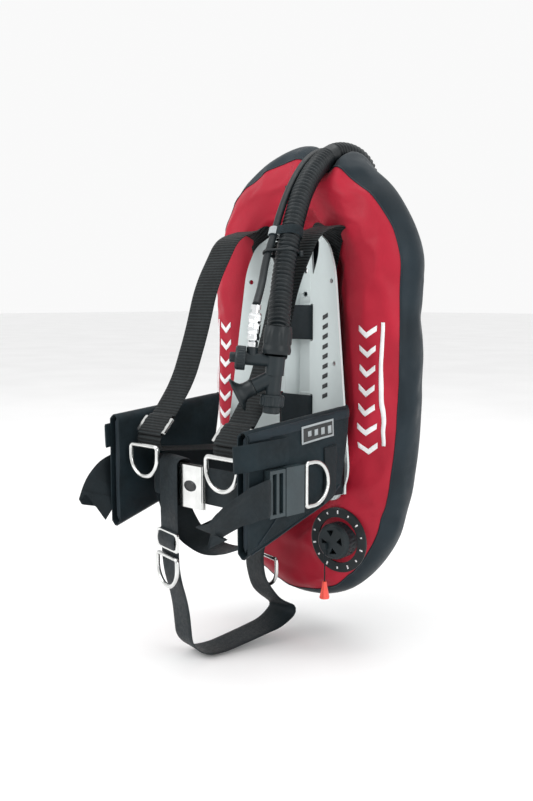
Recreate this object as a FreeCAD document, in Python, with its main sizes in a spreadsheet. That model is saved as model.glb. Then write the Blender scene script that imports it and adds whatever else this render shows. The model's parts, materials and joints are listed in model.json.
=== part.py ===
"""Backplate-and-wing buoyancy compensator for one tank, as separate pieces.

Millimetres.  +Z is up, -Y points away from the tank towards the front of the diver, and +X is the
diver's left.  The origin is the middle of the two tank bolt holes, on the tank side of the plate.
"""
import FreeCAD, Part
import math
import os

import Sketcher

V = FreeCAD.Vector
X_AXIS, Y_AXIS, Z_AXIS = V(1, 0, 0), V(0, 1, 0), V(0, 0, 1)

doc = FreeCAD.newDocument("buoyancy_vest")
sizes = doc.addObject("Spreadsheet::Sheet", "sizes")

DRIVING_SIZES = {
    # tank bolts and backplate
    "bolt_spacing": 279.4,
    "bolt_hole": 9,
    "plate_thickness": 3,
    "plate_top": 195,
    "plate_bottom": -190,
    "plate_top_half": 42,
    "plate_shoulder_half": 72,
    "plate_shoulder_z": 176,
    "plate_upper_half": 88,
    "plate_upper_z": 140,
    "plate_low_half": 125,
    "plate_low_z": -150,
    "plate_bottom_half": 95,
    "channel_floor_half": 12,
    "channel_half": 25,
    "channel_depth": 18,
    "plate_side_angle": 17,
    # wing
    "lobe_offset": 122,
    "lobe_outer": 63,
    "lobe_inner": 72,
    "lobe_front": 37,
    "lobe_rear": 72,
    "seam_out": 54,
    "seam_forward": 14,
    "wing_top_centre": 137,
    "wing_side_low": -20,
    "wing_side_arc": 700,
    "wing_bottom_radius": 103.1,
    "fabric_thickness": 2,
    "bladder_film": 1,
    "panel_thickness": 4,
    # webbing and metalware
    "webbing_width": 50,
    "webbing_thickness": 2.5,
    "ring_width": 57,
    "ring_height": 43,
    "ring_wire": 6,
    "slider_width": 60,
    "slider_height": 26,
    "slider_thickness": 3,
    "band_thickness": 2.5,
    "upper_band_z": 64,
    "lower_band_z": -68,
    "belt_z": -150,
    "belt_front": -226,
    "belt_side": 115,
    "shoulder_strap_x": 78,
    # weight pockets
    "pocket_x": 129,
    "pocket_thickness": 22,
    "pocket_wall": 2,
    "buckle_length": 70,
    "buckle_width": 62,
    # hoses and inflator
    "hose_diameter": 30,
    "lp_hose_diameter": 10,
    "hose_clearance": 2,
    "inflator_lean": 5,
    "inflator_turn": -136.2,
    # dump valve
    "valve_ring_radius": 47,
    "valve_body_radius": 26,
    "pull_cord_diameter": 2,
}


def fill_sheet():
    for row, (alias, value) in enumerate(DRIVING_SIZES.items(), start=1):
        sizes.set(f"A{row}", alias)
        sizes.set(f"B{row}", str(value))
        sizes.setAlias(f"B{row}", alias)
    doc.recompute()


fill_sheet()


def size(expression):
    """The value of a number, or of an expression over the sheet."""
    if isinstance(expression, (int, float)):
        return float(expression)
    return float(sizes.evalExpression(expression))


# ---------------------------------------------------------------- nodes

nodes = []


def keep(piece, label):
    piece.Label = label
    nodes.append(piece)
    return piece


def grouped(label, pieces):
    """Several separate solids of one kind, kept in one node."""
    group = doc.addObject("Part::Compound", label)
    group.Links = pieces
    for piece in pieces:
        if piece in nodes:
            nodes.remove(piece)
    return keep(group, label)


def shaped(label, shape, placement=None):
    """A sub-part whose shape is worked out in code from the sheet, then put in its place."""
    piece = doc.addObject("Part::Feature", label)
    piece.Shape = shape
    if placement is not None:
        piece.Placement = placement
    return keep(piece, label)


# ---------------------------------------------------------------- sketches and bodies


def aimed(at, direction=Z_AXIS, roll=0.0):
    """A placement at a point, with its own Z along a direction, turned about it by roll degrees."""
    turn = FreeCAD.Rotation(Z_AXIS, direction)
    spin = FreeCAD.Rotation(Z_AXIS, roll)
    return FreeCAD.Placement(V(*[size(c) for c in at]), turn.multiply(spin))


def new_body(label, placement=None):
    body = doc.addObject("PartDesign::Body", label)
    if placement is not None:
        body.Placement = placement
    return keep(body, label)


def new_sketch(body, role):
    plane = [f for f in body.Origin.OriginFeatures if f.Role == role][0]
    sketch = body.newObject("Sketcher::SketchObject", "outline")
    sketch.AttachmentSupport = (plane, [""])
    sketch.MapMode = "FlatFace"
    return sketch


def bind_point(sketch, geometry, corner, x, y):
    """Hold a point of a sketch at two distances from its origin, both bound to the sheet."""
    for kind, value in (("DistanceX", x), ("DistanceY", y)):
        index = sketch.addConstraint(Sketcher.Constraint(kind, -1, 1, geometry, corner, size(value)))
        sketch.setExpression(f"Constraints[{index}]", str(value))


def add_polygon(sketch, points):
    first = sketch.GeometryCount
    count = len(points)
    for i in range(count):
        ends = [V(size(x), size(y), 0) for x, y in (points[i], points[(i + 1) % count])]
        sketch.addGeometry(Part.LineSegment(*ends), False)
    for i in range(count):
        after = first + (i + 1) % count
        sketch.addConstraint(Sketcher.Constraint("Coincident", first + i, 2, after, 1))
    for i, (x, y) in enumerate(points):
        bind_point(sketch, first + i, 1, x, y)


def add_circle(sketch, x, y, radius):
    circle = Part.Circle(V(size(x), size(y), 0), Z_AXIS, size(radius))
    index = sketch.addGeometry(circle, False)
    bind_point(sketch, index, 3, x, y)
    radius_row = sketch.addConstraint(Sketcher.Constraint("Radius", index, size(radius)))
    sketch.setExpression(f"Constraints[{radius_row}]", str(radius))


def rectangle(x, y, width, height):
    """The corners of a rectangle round a middle point, as expressions."""
    return [
        (f"{x} + {i} * ({width}) / 2", f"{y} + {j} * ({height}) / 2")
        for i, j in ((-1, -1), (1, -1), (1, 1), (-1, 1))
    ]


def pad(body, role, points, length, circles=()):
    """Pad an outline by the same amount on both sides of its plane."""
    sketch = new_sketch(body, role)
    if points:
        add_polygon(sketch, points)
    for circle in circles:
        add_circle(sketch, *circle)
    feature = body.newObject("PartDesign::Pad", "pad")
    feature.Profile = sketch
    feature.setExpression("Length", str(length))
    feature.Midplane = True
    doc.recompute()
    return feature


def pocket(body, role, outlines, circles, length):
    """Cut outlines and circles through by the same amount on both sides of their plane."""
    before = body.Shape.Volume
    sketch = new_sketch(body, role)
    for points in outlines:
        add_polygon(sketch, points)
    for circle in circles:
        add_circle(sketch, *circle)
    feature = body.newObject("PartDesign::Pocket", "cut")
    feature.Profile = sketch
    feature.setExpression("Length", str(length))
    feature.Midplane = True
    doc.recompute()
    if body.Shape.Volume > before - 0.5:
        raise RuntimeError(f"a cut of {body.Label} removed nothing")
    return feature


def fillet_edges(body, choose, radius):
    """Round the edges of a body that a test picks out."""
    base = body.Tip
    names = [f"Edge{i}" for i, edge in enumerate(base.Shape.Edges, start=1) if choose(edge)]
    feature = body.newObject("PartDesign::Fillet", "rounding")
    feature.Base = (base, names)
    feature.setExpression("Radius", str(radius))
    doc.recompute()
    return feature


def along(direction):
    """A test for straight edges that run along a direction of the body."""

    def test(edge):
        if edge.Curve.TypeId != "Part::GeomLine":
            return False
        return abs(edge.tangentAt(edge.FirstParameter).dot(direction)) > 0.999

    return test


def turned(label, profile, placement):
    """A turned piece: a half profile of radius and height pairs, revolved about its own Z."""
    body = new_body(label, placement)
    sketch = new_sketch(body, "XZ_Plane")
    add_polygon(sketch, profile)
    feature = body.newObject("PartDesign::Revolution", "turning")
    feature.Profile = sketch
    feature.ReferenceAxis = (sketch, ["V_Axis"])
    feature.Angle = 360
    doc.recompute()
    return body


# ---------------------------------------------------------------- paths, bands and tubes


def corner(before, point, after, radius=None):
    """The arc that rounds a corner: its start, middle, end and radius.

    With no radius given it is as large as 0.45 of the shorter run allows.
    """
    back, ahead = before - point, after - point
    shorter = min(back.Length, ahead.Length)
    back.normalize()
    ahead.normalize()
    half_turn = (math.pi - back.getAngle(ahead)) / 2
    if radius is None:
        radius = 0.45 * shorter / math.tan(half_turn)
    reach = radius * math.tan(half_turn)
    inward = back + ahead
    inward.normalize()
    middle = point + inward * (radius / math.cos(half_turn) - radius)
    return point + back * reach, middle, point + ahead * reach, radius


def round_path(points, radii=None, closed=False):
    """Straight runs joined by tangent arcs, as edges, and the radii of the arcs.

    The radii may be one number for all corners, or a list with None where an arc is as large as it can be.
    """
    count = len(points)
    inner = list(range(count)) if closed else list(range(1, count - 1))
    if not isinstance(radii, list):
        radii = [radii] * len(inner)
    edges, used = [], []
    at = None if closed else points[0]
    arcs = [corner(points[i - 1], points[i], points[(i + 1) % count], given) for i, given in zip(inner, radii)]
    if closed:
        at = arcs[-1][2]
    for start, middle, end, radius in arcs:
        if (start - at).Length > 0.01:
            edges.append(Part.LineSegment(at, start).toShape())
        edges.append(Part.Arc(start, middle, end).toShape())
        used.append(radius)
        at = end
    if not closed:
        edges.append(Part.LineSegment(at, points[-1]).toShape())
    return edges, used


def tube(label, points, diameter, radii=None):
    """A plain round tube along a route, and a check of its volume."""
    edges, used = round_path(points, radii)
    wire = Part.Wire(edges)
    start = points[1] - points[0]
    circle = Part.Wire(Part.Circle(points[0], start, diameter / 2).toShape())
    solid = wire.makePipeShell([circle], True, False)
    expected = math.pi * diameter ** 2 / 4 * wire.Length
    if abs(solid.Volume - expected) > 0.01 * expected:
        raise RuntimeError(f"{label} has the wrong volume")
    print(label, "length", round(wire.Length), "radii", [round(r) for r in used])
    return solid


def thickened(points, radius, thickness, across, closed=False):
    """The outline face of a flat band seen edge on: a rounded path with a thickness."""
    edges, _ = round_path(points, radius, closed)
    wire = Part.Wire(edges)
    if closed:
        rims = [wire.makeOffset2D(shift) for shift in (thickness / 2, -thickness / 2)]
        rims.sort(key=lambda rim: rim.Length)
        return Part.Face(rims[1]).cut(Part.Face(rims[0])).Faces[0]
    sides = []
    for shift in (thickness / 2, -thickness / 2):
        moved = []
        for edge in edges:
            stations = [edge.FirstParameter, edge.LastParameter]
            if edge.Curve.TypeId != "Part::GeomLine":
                stations.insert(1, sum(stations) / 2)
            places = []
            for station in stations:
                sideways = across.cross(edge.tangentAt(station))
                sideways.normalize()
                places.append(edge.valueAt(station) + sideways * shift)
            maker = Part.LineSegment if len(places) == 2 else Part.Arc
            moved.append(maker(*places).toShape())
        sides.append(moved)
    caps = [
        Part.LineSegment(sides[0][end].Vertexes[at].Point, sides[1][end].Vertexes[at].Point).toShape()
        for end, at in ((0, 0), (-1, -1))
    ]
    return Part.Face(Part.Wire(Part.__sortEdges__(sides[0] + sides[1] + caps)))


def band(points, across, radius, thickness, width, closed=False):
    """Webbing along a flat path, as wide as given in the direction across."""
    across = V(across)
    across.normalize()
    face = thickened(points, radius, thickness, across, closed)
    face.translate(across * (-width / 2))
    return face.extrude(across * width)


def side_points(x, pairs):
    """Points of a path in an upright fore-and-aft plane."""
    return [V(x, y, z) for y, z in pairs]


# ---------------------------------------------------------------- backplate


def build_backplate():
    """Folded aluminium plate: a channel down the middle and two side wings bent forward."""
    body = new_body("backplate")
    side = "sizes.plate_low_half"
    slope = "tan(sizes.plate_side_angle)"
    thick = "sizes.plate_thickness"
    rise = f"({side} - sizes.channel_half) * {slope}"
    rear = [
        (side, f"-sizes.channel_depth - {rise}"),
        ("sizes.channel_half", "-sizes.channel_depth"),
        ("sizes.channel_floor_half", "0"),
    ]
    front = [(x, f"{y} - {thick}") for x, y in rear]
    front[2] = ("sizes.channel_floor_half - 1.5", f"-{thick}")
    front[1] = ("sizes.channel_half - 1.5", f"-sizes.channel_depth - {thick}")
    half = rear + front[::-1]
    mirrored = [(f"-({x})", y) for x, y in half]
    section = half[:3] + mirrored[2::-1] + mirrored[:2:-1] + half[3:]
    pad(body, "XY_Plane", section, "500")
    outline = [
        ("sizes.plate_bottom_half", "sizes.plate_bottom"),
        ("sizes.plate_low_half", "sizes.plate_low_z"),
        ("sizes.plate_upper_half", "sizes.plate_upper_z"),
        ("sizes.plate_shoulder_half", "sizes.plate_shoulder_z"),
        ("sizes.plate_top_half", "sizes.plate_top"),
    ]
    right = [("200", "-260")] + outline + [("0", "sizes.plate_top"), ("0", "260"), ("200", "260")]
    right.insert(1, ("0", "-260"))
    right.insert(2, ("0", "sizes.plate_bottom"))
    left = [(f"-({x})", y) for x, y in right]
    pocket(body, "XZ_Plane", [right], [], "200")
    pocket(body, "XZ_Plane", [left], [], "200")
    holes = [
        ("0", "sizes.bolt_spacing / 2", "sizes.bolt_hole / 2"),
        ("0", "-sizes.bolt_spacing / 2", "sizes.bolt_hole / 2"),
        ("0", "105", "4"),
        ("0", "-105", "4"),
    ]
    holes += [(x, z, "3.5") for x, z in (("80", "123"), ("-80", "123"), ("88", "7"), ("-88", "7"))]
    pocket(body, "XZ_Plane", [], holes, "200")
    slots = []
    for sign in ("1", "-1"):
        slots.append([(f"{sign} * {x}", z) for x, z in (("27", "183"), ("49", "183"), ("47", "160"), ("33", "131"))])
        for centre in ("sizes.upper_band_z", "sizes.lower_band_z"):
            slots.append(rectangle(f"{sign} * 30.5", centre, "6", "sizes.webbing_width + 4"))
        slots.append(rectangle(f"{sign} * 111", "sizes.belt_z", "9", "sizes.webbing_width + 4"))
    slots.append(rectangle("0", "-177", "sizes.webbing_width + 4", "8"))
    pocket(body, "XZ_Plane", slots, [], "200")


# ---------------------------------------------------------------- wing


def lobe_points():
    """Section of the inflated lobe: distance out from its path, and Y, in order round the section."""
    outer, inner = size("sizes.lobe_outer"), size("sizes.lobe_inner")
    front, rear = size("sizes.lobe_front"), size("sizes.lobe_rear")
    return {
        "inner_front": (-inner, 2.6),
        "hollow": (-61, 0.6),
        "slope": (-48, -9),
        "front": (8, -front),
        "seam": (size("sizes.seam_out"), -size("sizes.seam_forward")),
        "side": (outer, 18),
        "shoulder": (50, 50),
        "rear": (4, rear),
        "inner_rear": (-inner, 5.5),
    }


def lobe_face(names, inset, depth=None):
    """A face between two runs of the section, or the whole section inset."""
    points = lobe_points()
    centre = V(0, 17, 0)

    def place(name, amount):
        spot = V(*points[name], 0)
        inward = centre - spot
        inward.normalize()
        moved = spot + inward * amount
        return V(size("sizes.lobe_offset") + moved.x, moved.y, size("sizes.wing_top_centre"))

    def run(amount):
        stations = [place(name, amount) for name in names]
        return [Part.Arc(*stations[i : i + 3]).toShape() for i in range(0, len(stations) - 2, 2)]

    if depth is None:
        outer = run(inset)
        closing = Part.LineSegment(place(names[-1], inset), place(names[0], inset)).toShape()
        return Part.Face(Part.Wire(outer + [closing]))
    outer, inner = run(inset), run(inset + depth)
    caps = [Part.LineSegment(place(names[i], inset), place(names[i], inset + depth)).toShape() for i in (0, -1)]
    return Part.Face(Part.Wire(Part.__sortEdges__(outer + inner + caps)))


def sweep_round_wing(face):
    """Carry a section round the wing: half circle on top, straight sides, long arcs, small arc below."""
    top = V(0, 0, size("sizes.wing_top_centre"))
    low = V(0, 0, size("sizes.wing_side_low"))
    reach = size("sizes.wing_side_arc")
    offset = size("sizes.lobe_offset")
    bottom_radius = size("sizes.wing_bottom_radius")
    drop = math.sqrt((reach + offset - bottom_radius) ** 2 - reach ** 2)
    angle = math.degrees(math.atan2(drop, reach))
    bottom = V(0, 0, low.z - drop)
    over = face.revolve(top, Y_AXIS, -180)
    straight = face.extrude(low - top)
    lowered = face.copy()
    lowered.translate(low - top)
    side = lowered.revolve(low - X_AXIS * reach, Y_AXIS, angle)
    corner_face = lowered.copy()
    corner_face.rotate(low - X_AXIS * reach, Y_AXIS, angle)
    half_below = corner_face.revolve(bottom, Y_AXIS, 90 - angle)
    right = [straight, side, half_below]
    left = [piece.mirror(V(0, 0, 0), X_AXIS) for piece in right]
    return over.multiFuse(right + left).removeSplitter()


HOSE_ROUTE = [
    V(46, 92, 250),
    V(46, 92, 278),
    V(44, 74, 303),
    V(41, 44, 313),
    V(40, 8, 308),
    V(50.8, -40, 281.7),
    V(59.6, -76, 247),
    V(69.4, -101, 213.5),
    V(77.4, -122.5, 177.4),
    V(85.5, -141, 141),
    V(95.7, -158.5, 104.2),
    V(108.7, -177, 64.5),
    V(122.8, -196.5, 26),
]
LP_HOSE_ROUTE = [
    V(102, -205, 81.3),
    V(89, -188, 113),
    V(73.9, -165, 147.2),
    V(64.5, -140, 181.2),
    V(51.9, -111, 220.7),
    V(38.1, -75, 259.7),
    V(25.6, -34, 294.5),
    V(18.6, 9, 315.4),
    V(16.8, 50, 312.1),
    V(22, 80, 282),
    V(23, 89, 240),
    V(24, 84, 198),
    V(24, 84, 158),
]


def build_wing():
    """Outer fabric in two colours, the sealed bladder in it, and the flat panel behind the plate."""
    fabric = size("sizes.fabric_thickness")
    film = size("sizes.bladder_film")
    grooves = hose_grooves(size("sizes.hose_clearance"))
    valve_hole = Part.makeCylinder(size("sizes.valve_body_radius") + 0.4, 60, VALVE_AT - VALVE_OUT * 45, VALVE_OUT)
    elbow_hole = Part.makeCylinder(12, 60, ELBOW_AT - Y_AXIS * 50, Y_AXIS)
    front_names = ["inner_front", "hollow", "slope", "front", "seam"]
    rear_names = ["seam", "side", "shoulder", "rear", "inner_rear"]
    front = sweep_round_wing(lobe_face(front_names, 0, fabric))
    rear = sweep_round_wing(lobe_face(rear_names, 0, fabric))
    whole = front_names + rear_names[1:]
    bladder = sweep_round_wing(lobe_face(whole, fabric + 0.4)).cut(grooves)
    air = sweep_round_wing(lobe_face(whole, fabric + 0.4 + film)).cut(hose_grooves(size("sizes.hose_clearance") + film))
    shaped("wing_front_panel", largest(front.cut(grooves + [valve_hole])))
    shaped("wing_rear_panel", largest(rear.cut(grooves + [elbow_hole])))
    shaped("wing_bladder", largest(bladder.cut([air, valve_hole, elbow_hole])))


def hose_grooves(clearance):
    """What both hoses need of the wing, with a clearance all round."""
    return [
        tube("hose groove", HOSE_ROUTE, size("sizes.hose_diameter") + 2 * clearance),
        tube("thin hose groove", LP_HOSE_ROUTE, size("sizes.lp_hose_diameter") + 2 * clearance),
    ]


def largest(shape):
    return max(shape.Solids, key=lambda solid: solid.Volume)


def build_centre_panel():
    """Flat panel between the lobes, with the holes for bolts and tank bands."""
    body = new_body("wing_centre_panel")
    half = "sizes.lobe_offset - sizes.lobe_inner - 0.5"
    top = "sizes.wing_top_centre"
    upper = [(f"({half}) * cos({a})", f"{top} + ({half}) * sin({a})") for a in range(0, 181, 30)]
    narrowing = [(0, -20), (1.5, -60), (10.5, -145), (20, -193), (28, -204), (40, -212.5)]
    left = [(f"-({half}) + {taken}", str(z)) for taken, z in narrowing]
    right = [(f"({half}) - {taken}", str(z)) for taken, z in reversed(narrowing)]
    pad(body, "XZ_Plane", upper + left + right, "sizes.panel_thickness")
    body.Placement = FreeCAD.Placement(V(0, 0.5 + size("sizes.panel_thickness") / 2, 0), FreeCAD.Rotation())
    bolts = [("0", f"{sign}sizes.bolt_spacing / 2", "sizes.bolt_hole / 2") for sign in ("", "-")]
    slots = [
        rectangle(f"{sign} * 35.5", centre, "7", "sizes.webbing_width + 4")
        for sign in ("1", "-1")
        for centre in ("sizes.upper_band_z", "sizes.lower_band_z")
    ]
    pocket(body, "XZ_Plane", slots, bolts, "20")


# ---------------------------------------------------------------- tank bands


def build_tank_bands():
    """Two cam bands through the plate and wing, each with its buckle on the tank side."""
    width = size("sizes.webbing_width")
    thickness = size("sizes.band_thickness")
    frames = []
    for name in ("upper", "lower"):
        z = size(f"sizes.{name}_band_z")
        plan = [(30, -25.5), (35.5, 4), (41, 30), (66, 84), (54, 150)]
        loop = [V(x, y, z) for x, y in plan] + [V(-x, y, z) for x, y in reversed(plan)]
        shaped(f"cam_band_{name}", band(loop, Z_AXIS, 6, thickness, width, closed=True))
        frames.append(build_cam_buckle(name, z, 150 + thickness / 2))
    grouped("cam_buckle_frames", frames)


def build_cam_buckle(name, z, band_face):
    """Buckle on the back run of a tank band: a slotted frame, and the lever hinged on it."""
    frame = new_body(f"cam_buckle_frame_{name}", FreeCAD.Placement(V(0, band_face + 2.3, z), FreeCAD.Rotation()))
    pad(frame, "XZ_Plane", rectangle("0", "0", "72", "58"), "4")
    slots = [rectangle(x, "0", "6", "sizes.webbing_width + 2") for x in ("-24", "12", "26")]
    pocket(frame, "XZ_Plane", slots, [], "20")
    lever = new_body(f"cam_buckle_lever_{name}", FreeCAD.Placement(V(0, band_face + 9, z), FreeCAD.Rotation()))
    outline = [("-34", "-3"), ("-27", "-3.5"), ("30", "-3"), ("34", "1"), ("30", "3.5"), ("-29", "3.5"), ("-34", "2")]
    pad(lever, "XY_Plane", outline, "48")
    pad(lever, "XY_Plane", [], "48", [("-31", "0", "3.6")])
    return frame


# ---------------------------------------------------------------- harness


def build_shoulder_straps():
    """Shoulder webbing: over the top of the plate, down the chest and back to the plate's side."""
    run = [
        (-42, 199.5),
        (-88, 187),
        (-132, 116),
        (-150, 53),
        (-178, -18),
        (-212, -62),
        (-243, -96),
        (-236, -110),
        (-150, -118),
        (-52, -124),
    ]
    for side, sign in (("left", 1), ("right", -1)):
        x = sign * size("sizes.shoulder_strap_x")
        path = side_points(x, run)
        radii = [None, None, None, None, 12, 7, 6, 12]
        webbing = band(path, X_AXIS, radii, size("sizes.webbing_thickness"), size("sizes.webbing_width"))
        shaped(f"shoulder_strap_{side}", webbing)


def build_waist_straps():
    """Waist webbing: through the plate's side slots and forward to the buckle."""
    front, side = size("sizes.belt_front"), size("sizes.belt_side")
    z = size("sizes.belt_z")
    plan = [(99, -39.2), (111, -42.9), (side - 4, -62), (side - 1, -186), (92, front), (1, front)]
    thickness, width = size("sizes.webbing_thickness"), size("sizes.webbing_width")
    runs = []
    for sign in (1, -1):
        path = [V(sign * x, y, z) for x, y in plan]
        runs.append(band(path, Z_AXIS, [2.5, 6, 40, 30], thickness, width))
    tail = [V(x, -198, z) for x, z in ((-68, -203), (-42, -232), (4, -246), (52, -240), (92, -212))]
    shaped("waist_strap_left", runs[0])
    shaped("waist_strap_right", Part.makeCompound([runs[1], band(tail, Y_AXIS, None, thickness, 48)]))


CROTCH_FRONT = V(-43, -234, 0)
CROTCH_REAR = V(0, -40, 0)


def crotch_point(reach, z):
    """A point of the crotch strap's plane, by its distance forward from the rear end."""
    forward = CROTCH_FRONT - CROTCH_REAR
    forward.normalize()
    return CROTCH_REAR + forward * reach + Z_AXIS * z


def build_crotch_strap():
    """Crotch webbing: looped over the waist belt in front, hanging free, and up to the plate's lowest slot."""
    run = [
        (178, -180),
        (178, -118),
        (200.5, -118),
        (200.5, -200),
        (198, -278),
        (184, -325),
        (178, -384),
        (156, -402),
        (126, -403),
        (77, -394),
        (30, -384),
        (4, -364),
        (42, -338),
        (60, -300),
        (58, -262),
        (30, -210),
        (9, -178),
    ]
    across = (CROTCH_FRONT - CROTCH_REAR).cross(Z_AXIS)
    path = [crotch_point(reach, z) for reach, z in run]
    webbing = band(path, across, None, size("sizes.webbing_thickness"), size("sizes.webbing_width"))
    shaped("crotch_strap", webbing)


def ring_placement(at, forward, tilt=0.0):
    """A frame with Z up the ring, Y back along the hinge's facing, and the origin on the bar's middle."""
    across = forward.cross(Z_AXIS)
    turn = FreeCAD.Rotation(across, V(0, 0, 0), Z_AXIS, "ZXY")
    lean = FreeCAD.Rotation(X_AXIS, tilt)
    return FreeCAD.Placement(at, turn.multiply(lean))


def build_ring(label, placement):
    """A welded D-ring: a straight bar, two short legs and a half circle hanging below."""
    half = size("sizes.ring_width") / 2
    low = -size("sizes.ring_height")
    wire_radius = size("sizes.ring_wire") / 2
    small = 5.0
    left, right = V(-half, 0, 0), V(half, 0, 0)
    bend = [V(half, 0, low + half), V(0, 0, low), V(-half, 0, low + half)]
    tops = [corner(left, right, bend[0], small), corner(bend[2], left, right, small)]
    edges = [
        Part.LineSegment(tops[1][2], tops[0][0]).toShape(),
        Part.Arc(*tops[0][:3]).toShape(),
        Part.LineSegment(tops[0][2], bend[0]).toShape(),
        Part.Arc(*bend).toShape(),
        Part.LineSegment(bend[2], tops[1][0]).toShape(),
        Part.Arc(*tops[1][:3]).toShape(),
    ]
    circle = Part.Wire(Part.Circle(tops[1][2], X_AXIS, wire_radius).toShape())
    shaped(label, Part.Wire(edges).makePipeShell([circle], True, False), placement)


def build_slider(label, placement):
    """A three-bar webbing slider: a flat frame with two slots."""
    body = new_body(label, placement)
    pad(body, "XZ_Plane", rectangle("0", "0", "sizes.slider_width", "sizes.slider_height"), "sizes.slider_thickness")
    slots = [rectangle("0", z, "sizes.webbing_width + 1", "7") for z in ("-6", "6")]
    pocket(body, "XZ_Plane", slots, [], "20")
    fillet_edges(body, along(Y_AXIS), "2.5")
    return body


def build_metalware():
    """Sliders and D-rings of the shoulder and crotch straps."""
    gap = size("sizes.webbing_thickness + sizes.ring_wire") / 2 + 0.5
    face = size("sizes.webbing_thickness + sizes.slider_thickness") / 2 + 0.3
    forward = CROTCH_FRONT - CROTCH_REAR
    forward.normalize()
    strap_x = size("sizes.shoulder_strap_x")
    build_ring("shoulder_d_ring_left", ring_placement(V(strap_x, -250.5, -104), -Y_AXIS))
    build_ring("shoulder_d_ring_right", ring_placement(V(-strap_x, -250.5, -104), -Y_AXIS))
    sliders = []
    lean = FreeCAD.Rotation(X_AXIS, -42.5)
    for side, sign in (("left", 1), ("right", -1)):
        middle = V(sign * size("sizes.shoulder_strap_x"), -227.5, -79) + lean.multVec(-Y_AXIS) * (face + 0.2)
        sliders.append(build_slider(f"shoulder_slider_{side}", FreeCAD.Placement(middle, lean)))
    sliders.append(build_slider("crotch_slider", ring_placement(crotch_point(199.8 + face, -234), forward)))
    grouped("webbing_sliders", sliders)
    build_ring("crotch_d_ring_front", ring_placement(crotch_point(199 + gap, -256), forward))
    build_ring("crotch_d_ring_rear", ring_placement(crotch_point(40, -280), -forward))


def build_waist_buckle():
    """Stainless belt buckle: a frame on the belt, and the cover plate that hinges on its left edge."""
    z = size("sizes.belt_z") - 3
    front = size("sizes.belt_front - sizes.webbing_thickness / 2")
    frame = new_body("waist_buckle_frame", FreeCAD.Placement(V(0, front - 1.8, z), FreeCAD.Rotation()))
    pad(frame, "XZ_Plane", rectangle("0", "0", "50", "60"), "2.5")
    pocket(frame, "XZ_Plane", [rectangle(x, "0", "8", "52") for x in ("-12", "12")], [], "20")
    lever = new_body("waist_buckle_cover", FreeCAD.Placement(V(0, front - 6.2, z), FreeCAD.Rotation()))
    folded = [("24", "-2.5"), ("24", "2.5"), ("22", "2.5"), ("22", "-1")]
    pad(lever, "XY_Plane", folded + [(f"-({x})", y) for x, y in reversed(folded)], "58")
    pad(lever, "XY_Plane", [], "58", [("23.5", "0.25", "1.6")])


# ---------------------------------------------------------------- weight pockets

POCKET_OUTLINE = [("-262", "-64"), ("-256", "-222"), ("-112", "-178"), ("-84", "-158"), ("-62", "-47")]
CAVITY_OUTLINE = [("-275", "-69"), ("-275", "-222"), ("-250", "-215"), ("-112", "-173"), ("-88", "-155"), ("-67", "-52")]
POUCH_OUTLINE = [("-258", "-69.5"), ("-253", "-214"), ("-113", "-171.5"), ("-90", "-154"), ("-69", "-53.5")]


def build_pockets():
    """A weight pocket each side: sewn shell, ditchable pouch, release buckle in two halves, pull strap."""
    for side, sign in (("left", 1), ("right", -1)):
        x = sign * size("sizes.pocket_x")
        outer = sign * size("sizes.pocket_x + sizes.pocket_thickness / 2")
        at = FreeCAD.Placement(V(x, 0, 0), FreeCAD.Rotation())
        shell = new_body(f"pocket_shell_{side}", at)
        pad(shell, "YZ_Plane", POCKET_OUTLINE, "sizes.pocket_thickness")
        inside = "sizes.pocket_thickness - 2 * sizes.pocket_wall"
        pocket(shell, "YZ_Plane", [CAVITY_OUTLINE], [], inside)
        pouch = new_body(f"weight_pouch_{side}", at)
        pad(pouch, "YZ_Plane", POUCH_OUTLINE, f"{inside} - 1.2")
        build_release_buckle(side, sign, outer)
        build_pull_strap(side, sign, outer)


def build_release_buckle(side, sign, outer):
    """Side-release buckle on the pocket's outer face, its two halves meeting fore and aft."""
    z = -143
    middle = outer + sign * 7.5
    female = new_body(f"release_buckle_female_{side}", FreeCAD.Placement(V(middle, -192, z), FreeCAD.Rotation()))
    pad(female, "YZ_Plane", rectangle("0", "0", "34", "sizes.buckle_width"), "11")
    pocket(female, "YZ_Plane", [rectangle("-6", "0", "24", "sizes.buckle_width - 8")], [], "6")
    male = new_body(f"release_buckle_male_{side}", FreeCAD.Placement(V(middle, -224, z), FreeCAD.Rotation()))
    pad(male, "YZ_Plane", rectangle("0", "0", "28", "sizes.buckle_width - 2"), "10")
    pocket(male, "YZ_Plane", [rectangle(y, "0", "7", "51") for y in ("-6", "6")], [], "30")
    pad(male, "YZ_Plane", rectangle("22", "0", "18", "sizes.buckle_width - 12"), "4.6")


def build_pull_strap(side, sign, outer):
    """Webbing on the pouch: the tail through the buckle and the grab strap above it."""
    thickness = size("sizes.webbing_thickness")
    x = outer + sign * (13.7 + thickness / 2)
    tail = flat_run([(x, -212), (x, -262), (x - sign * 4, -322)], -148, thickness, size("sizes.webbing_width"))
    x = outer + sign * (3 + thickness / 2)
    grab = flat_run([(x, -196), (x, -268), (x - sign * 6, -290)], -93, thickness, 34)
    shaped(f"pull_straps_{side}", Part.makeCompound([tail, grab]))


def flat_run(plan, z, thickness, width):
    """Webbing on edge along a nearly straight fore-and-aft plan, centred on a height."""
    outline = [V(x - thickness / 2, y, z - width / 2) for x, y in plan]
    outline += [V(x + thickness / 2, y, z - width / 2) for x, y in reversed(plan)]
    return Part.Face(Part.makePolygon(outline + outline[:1])).extrude(Z_AXIS * width)


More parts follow.
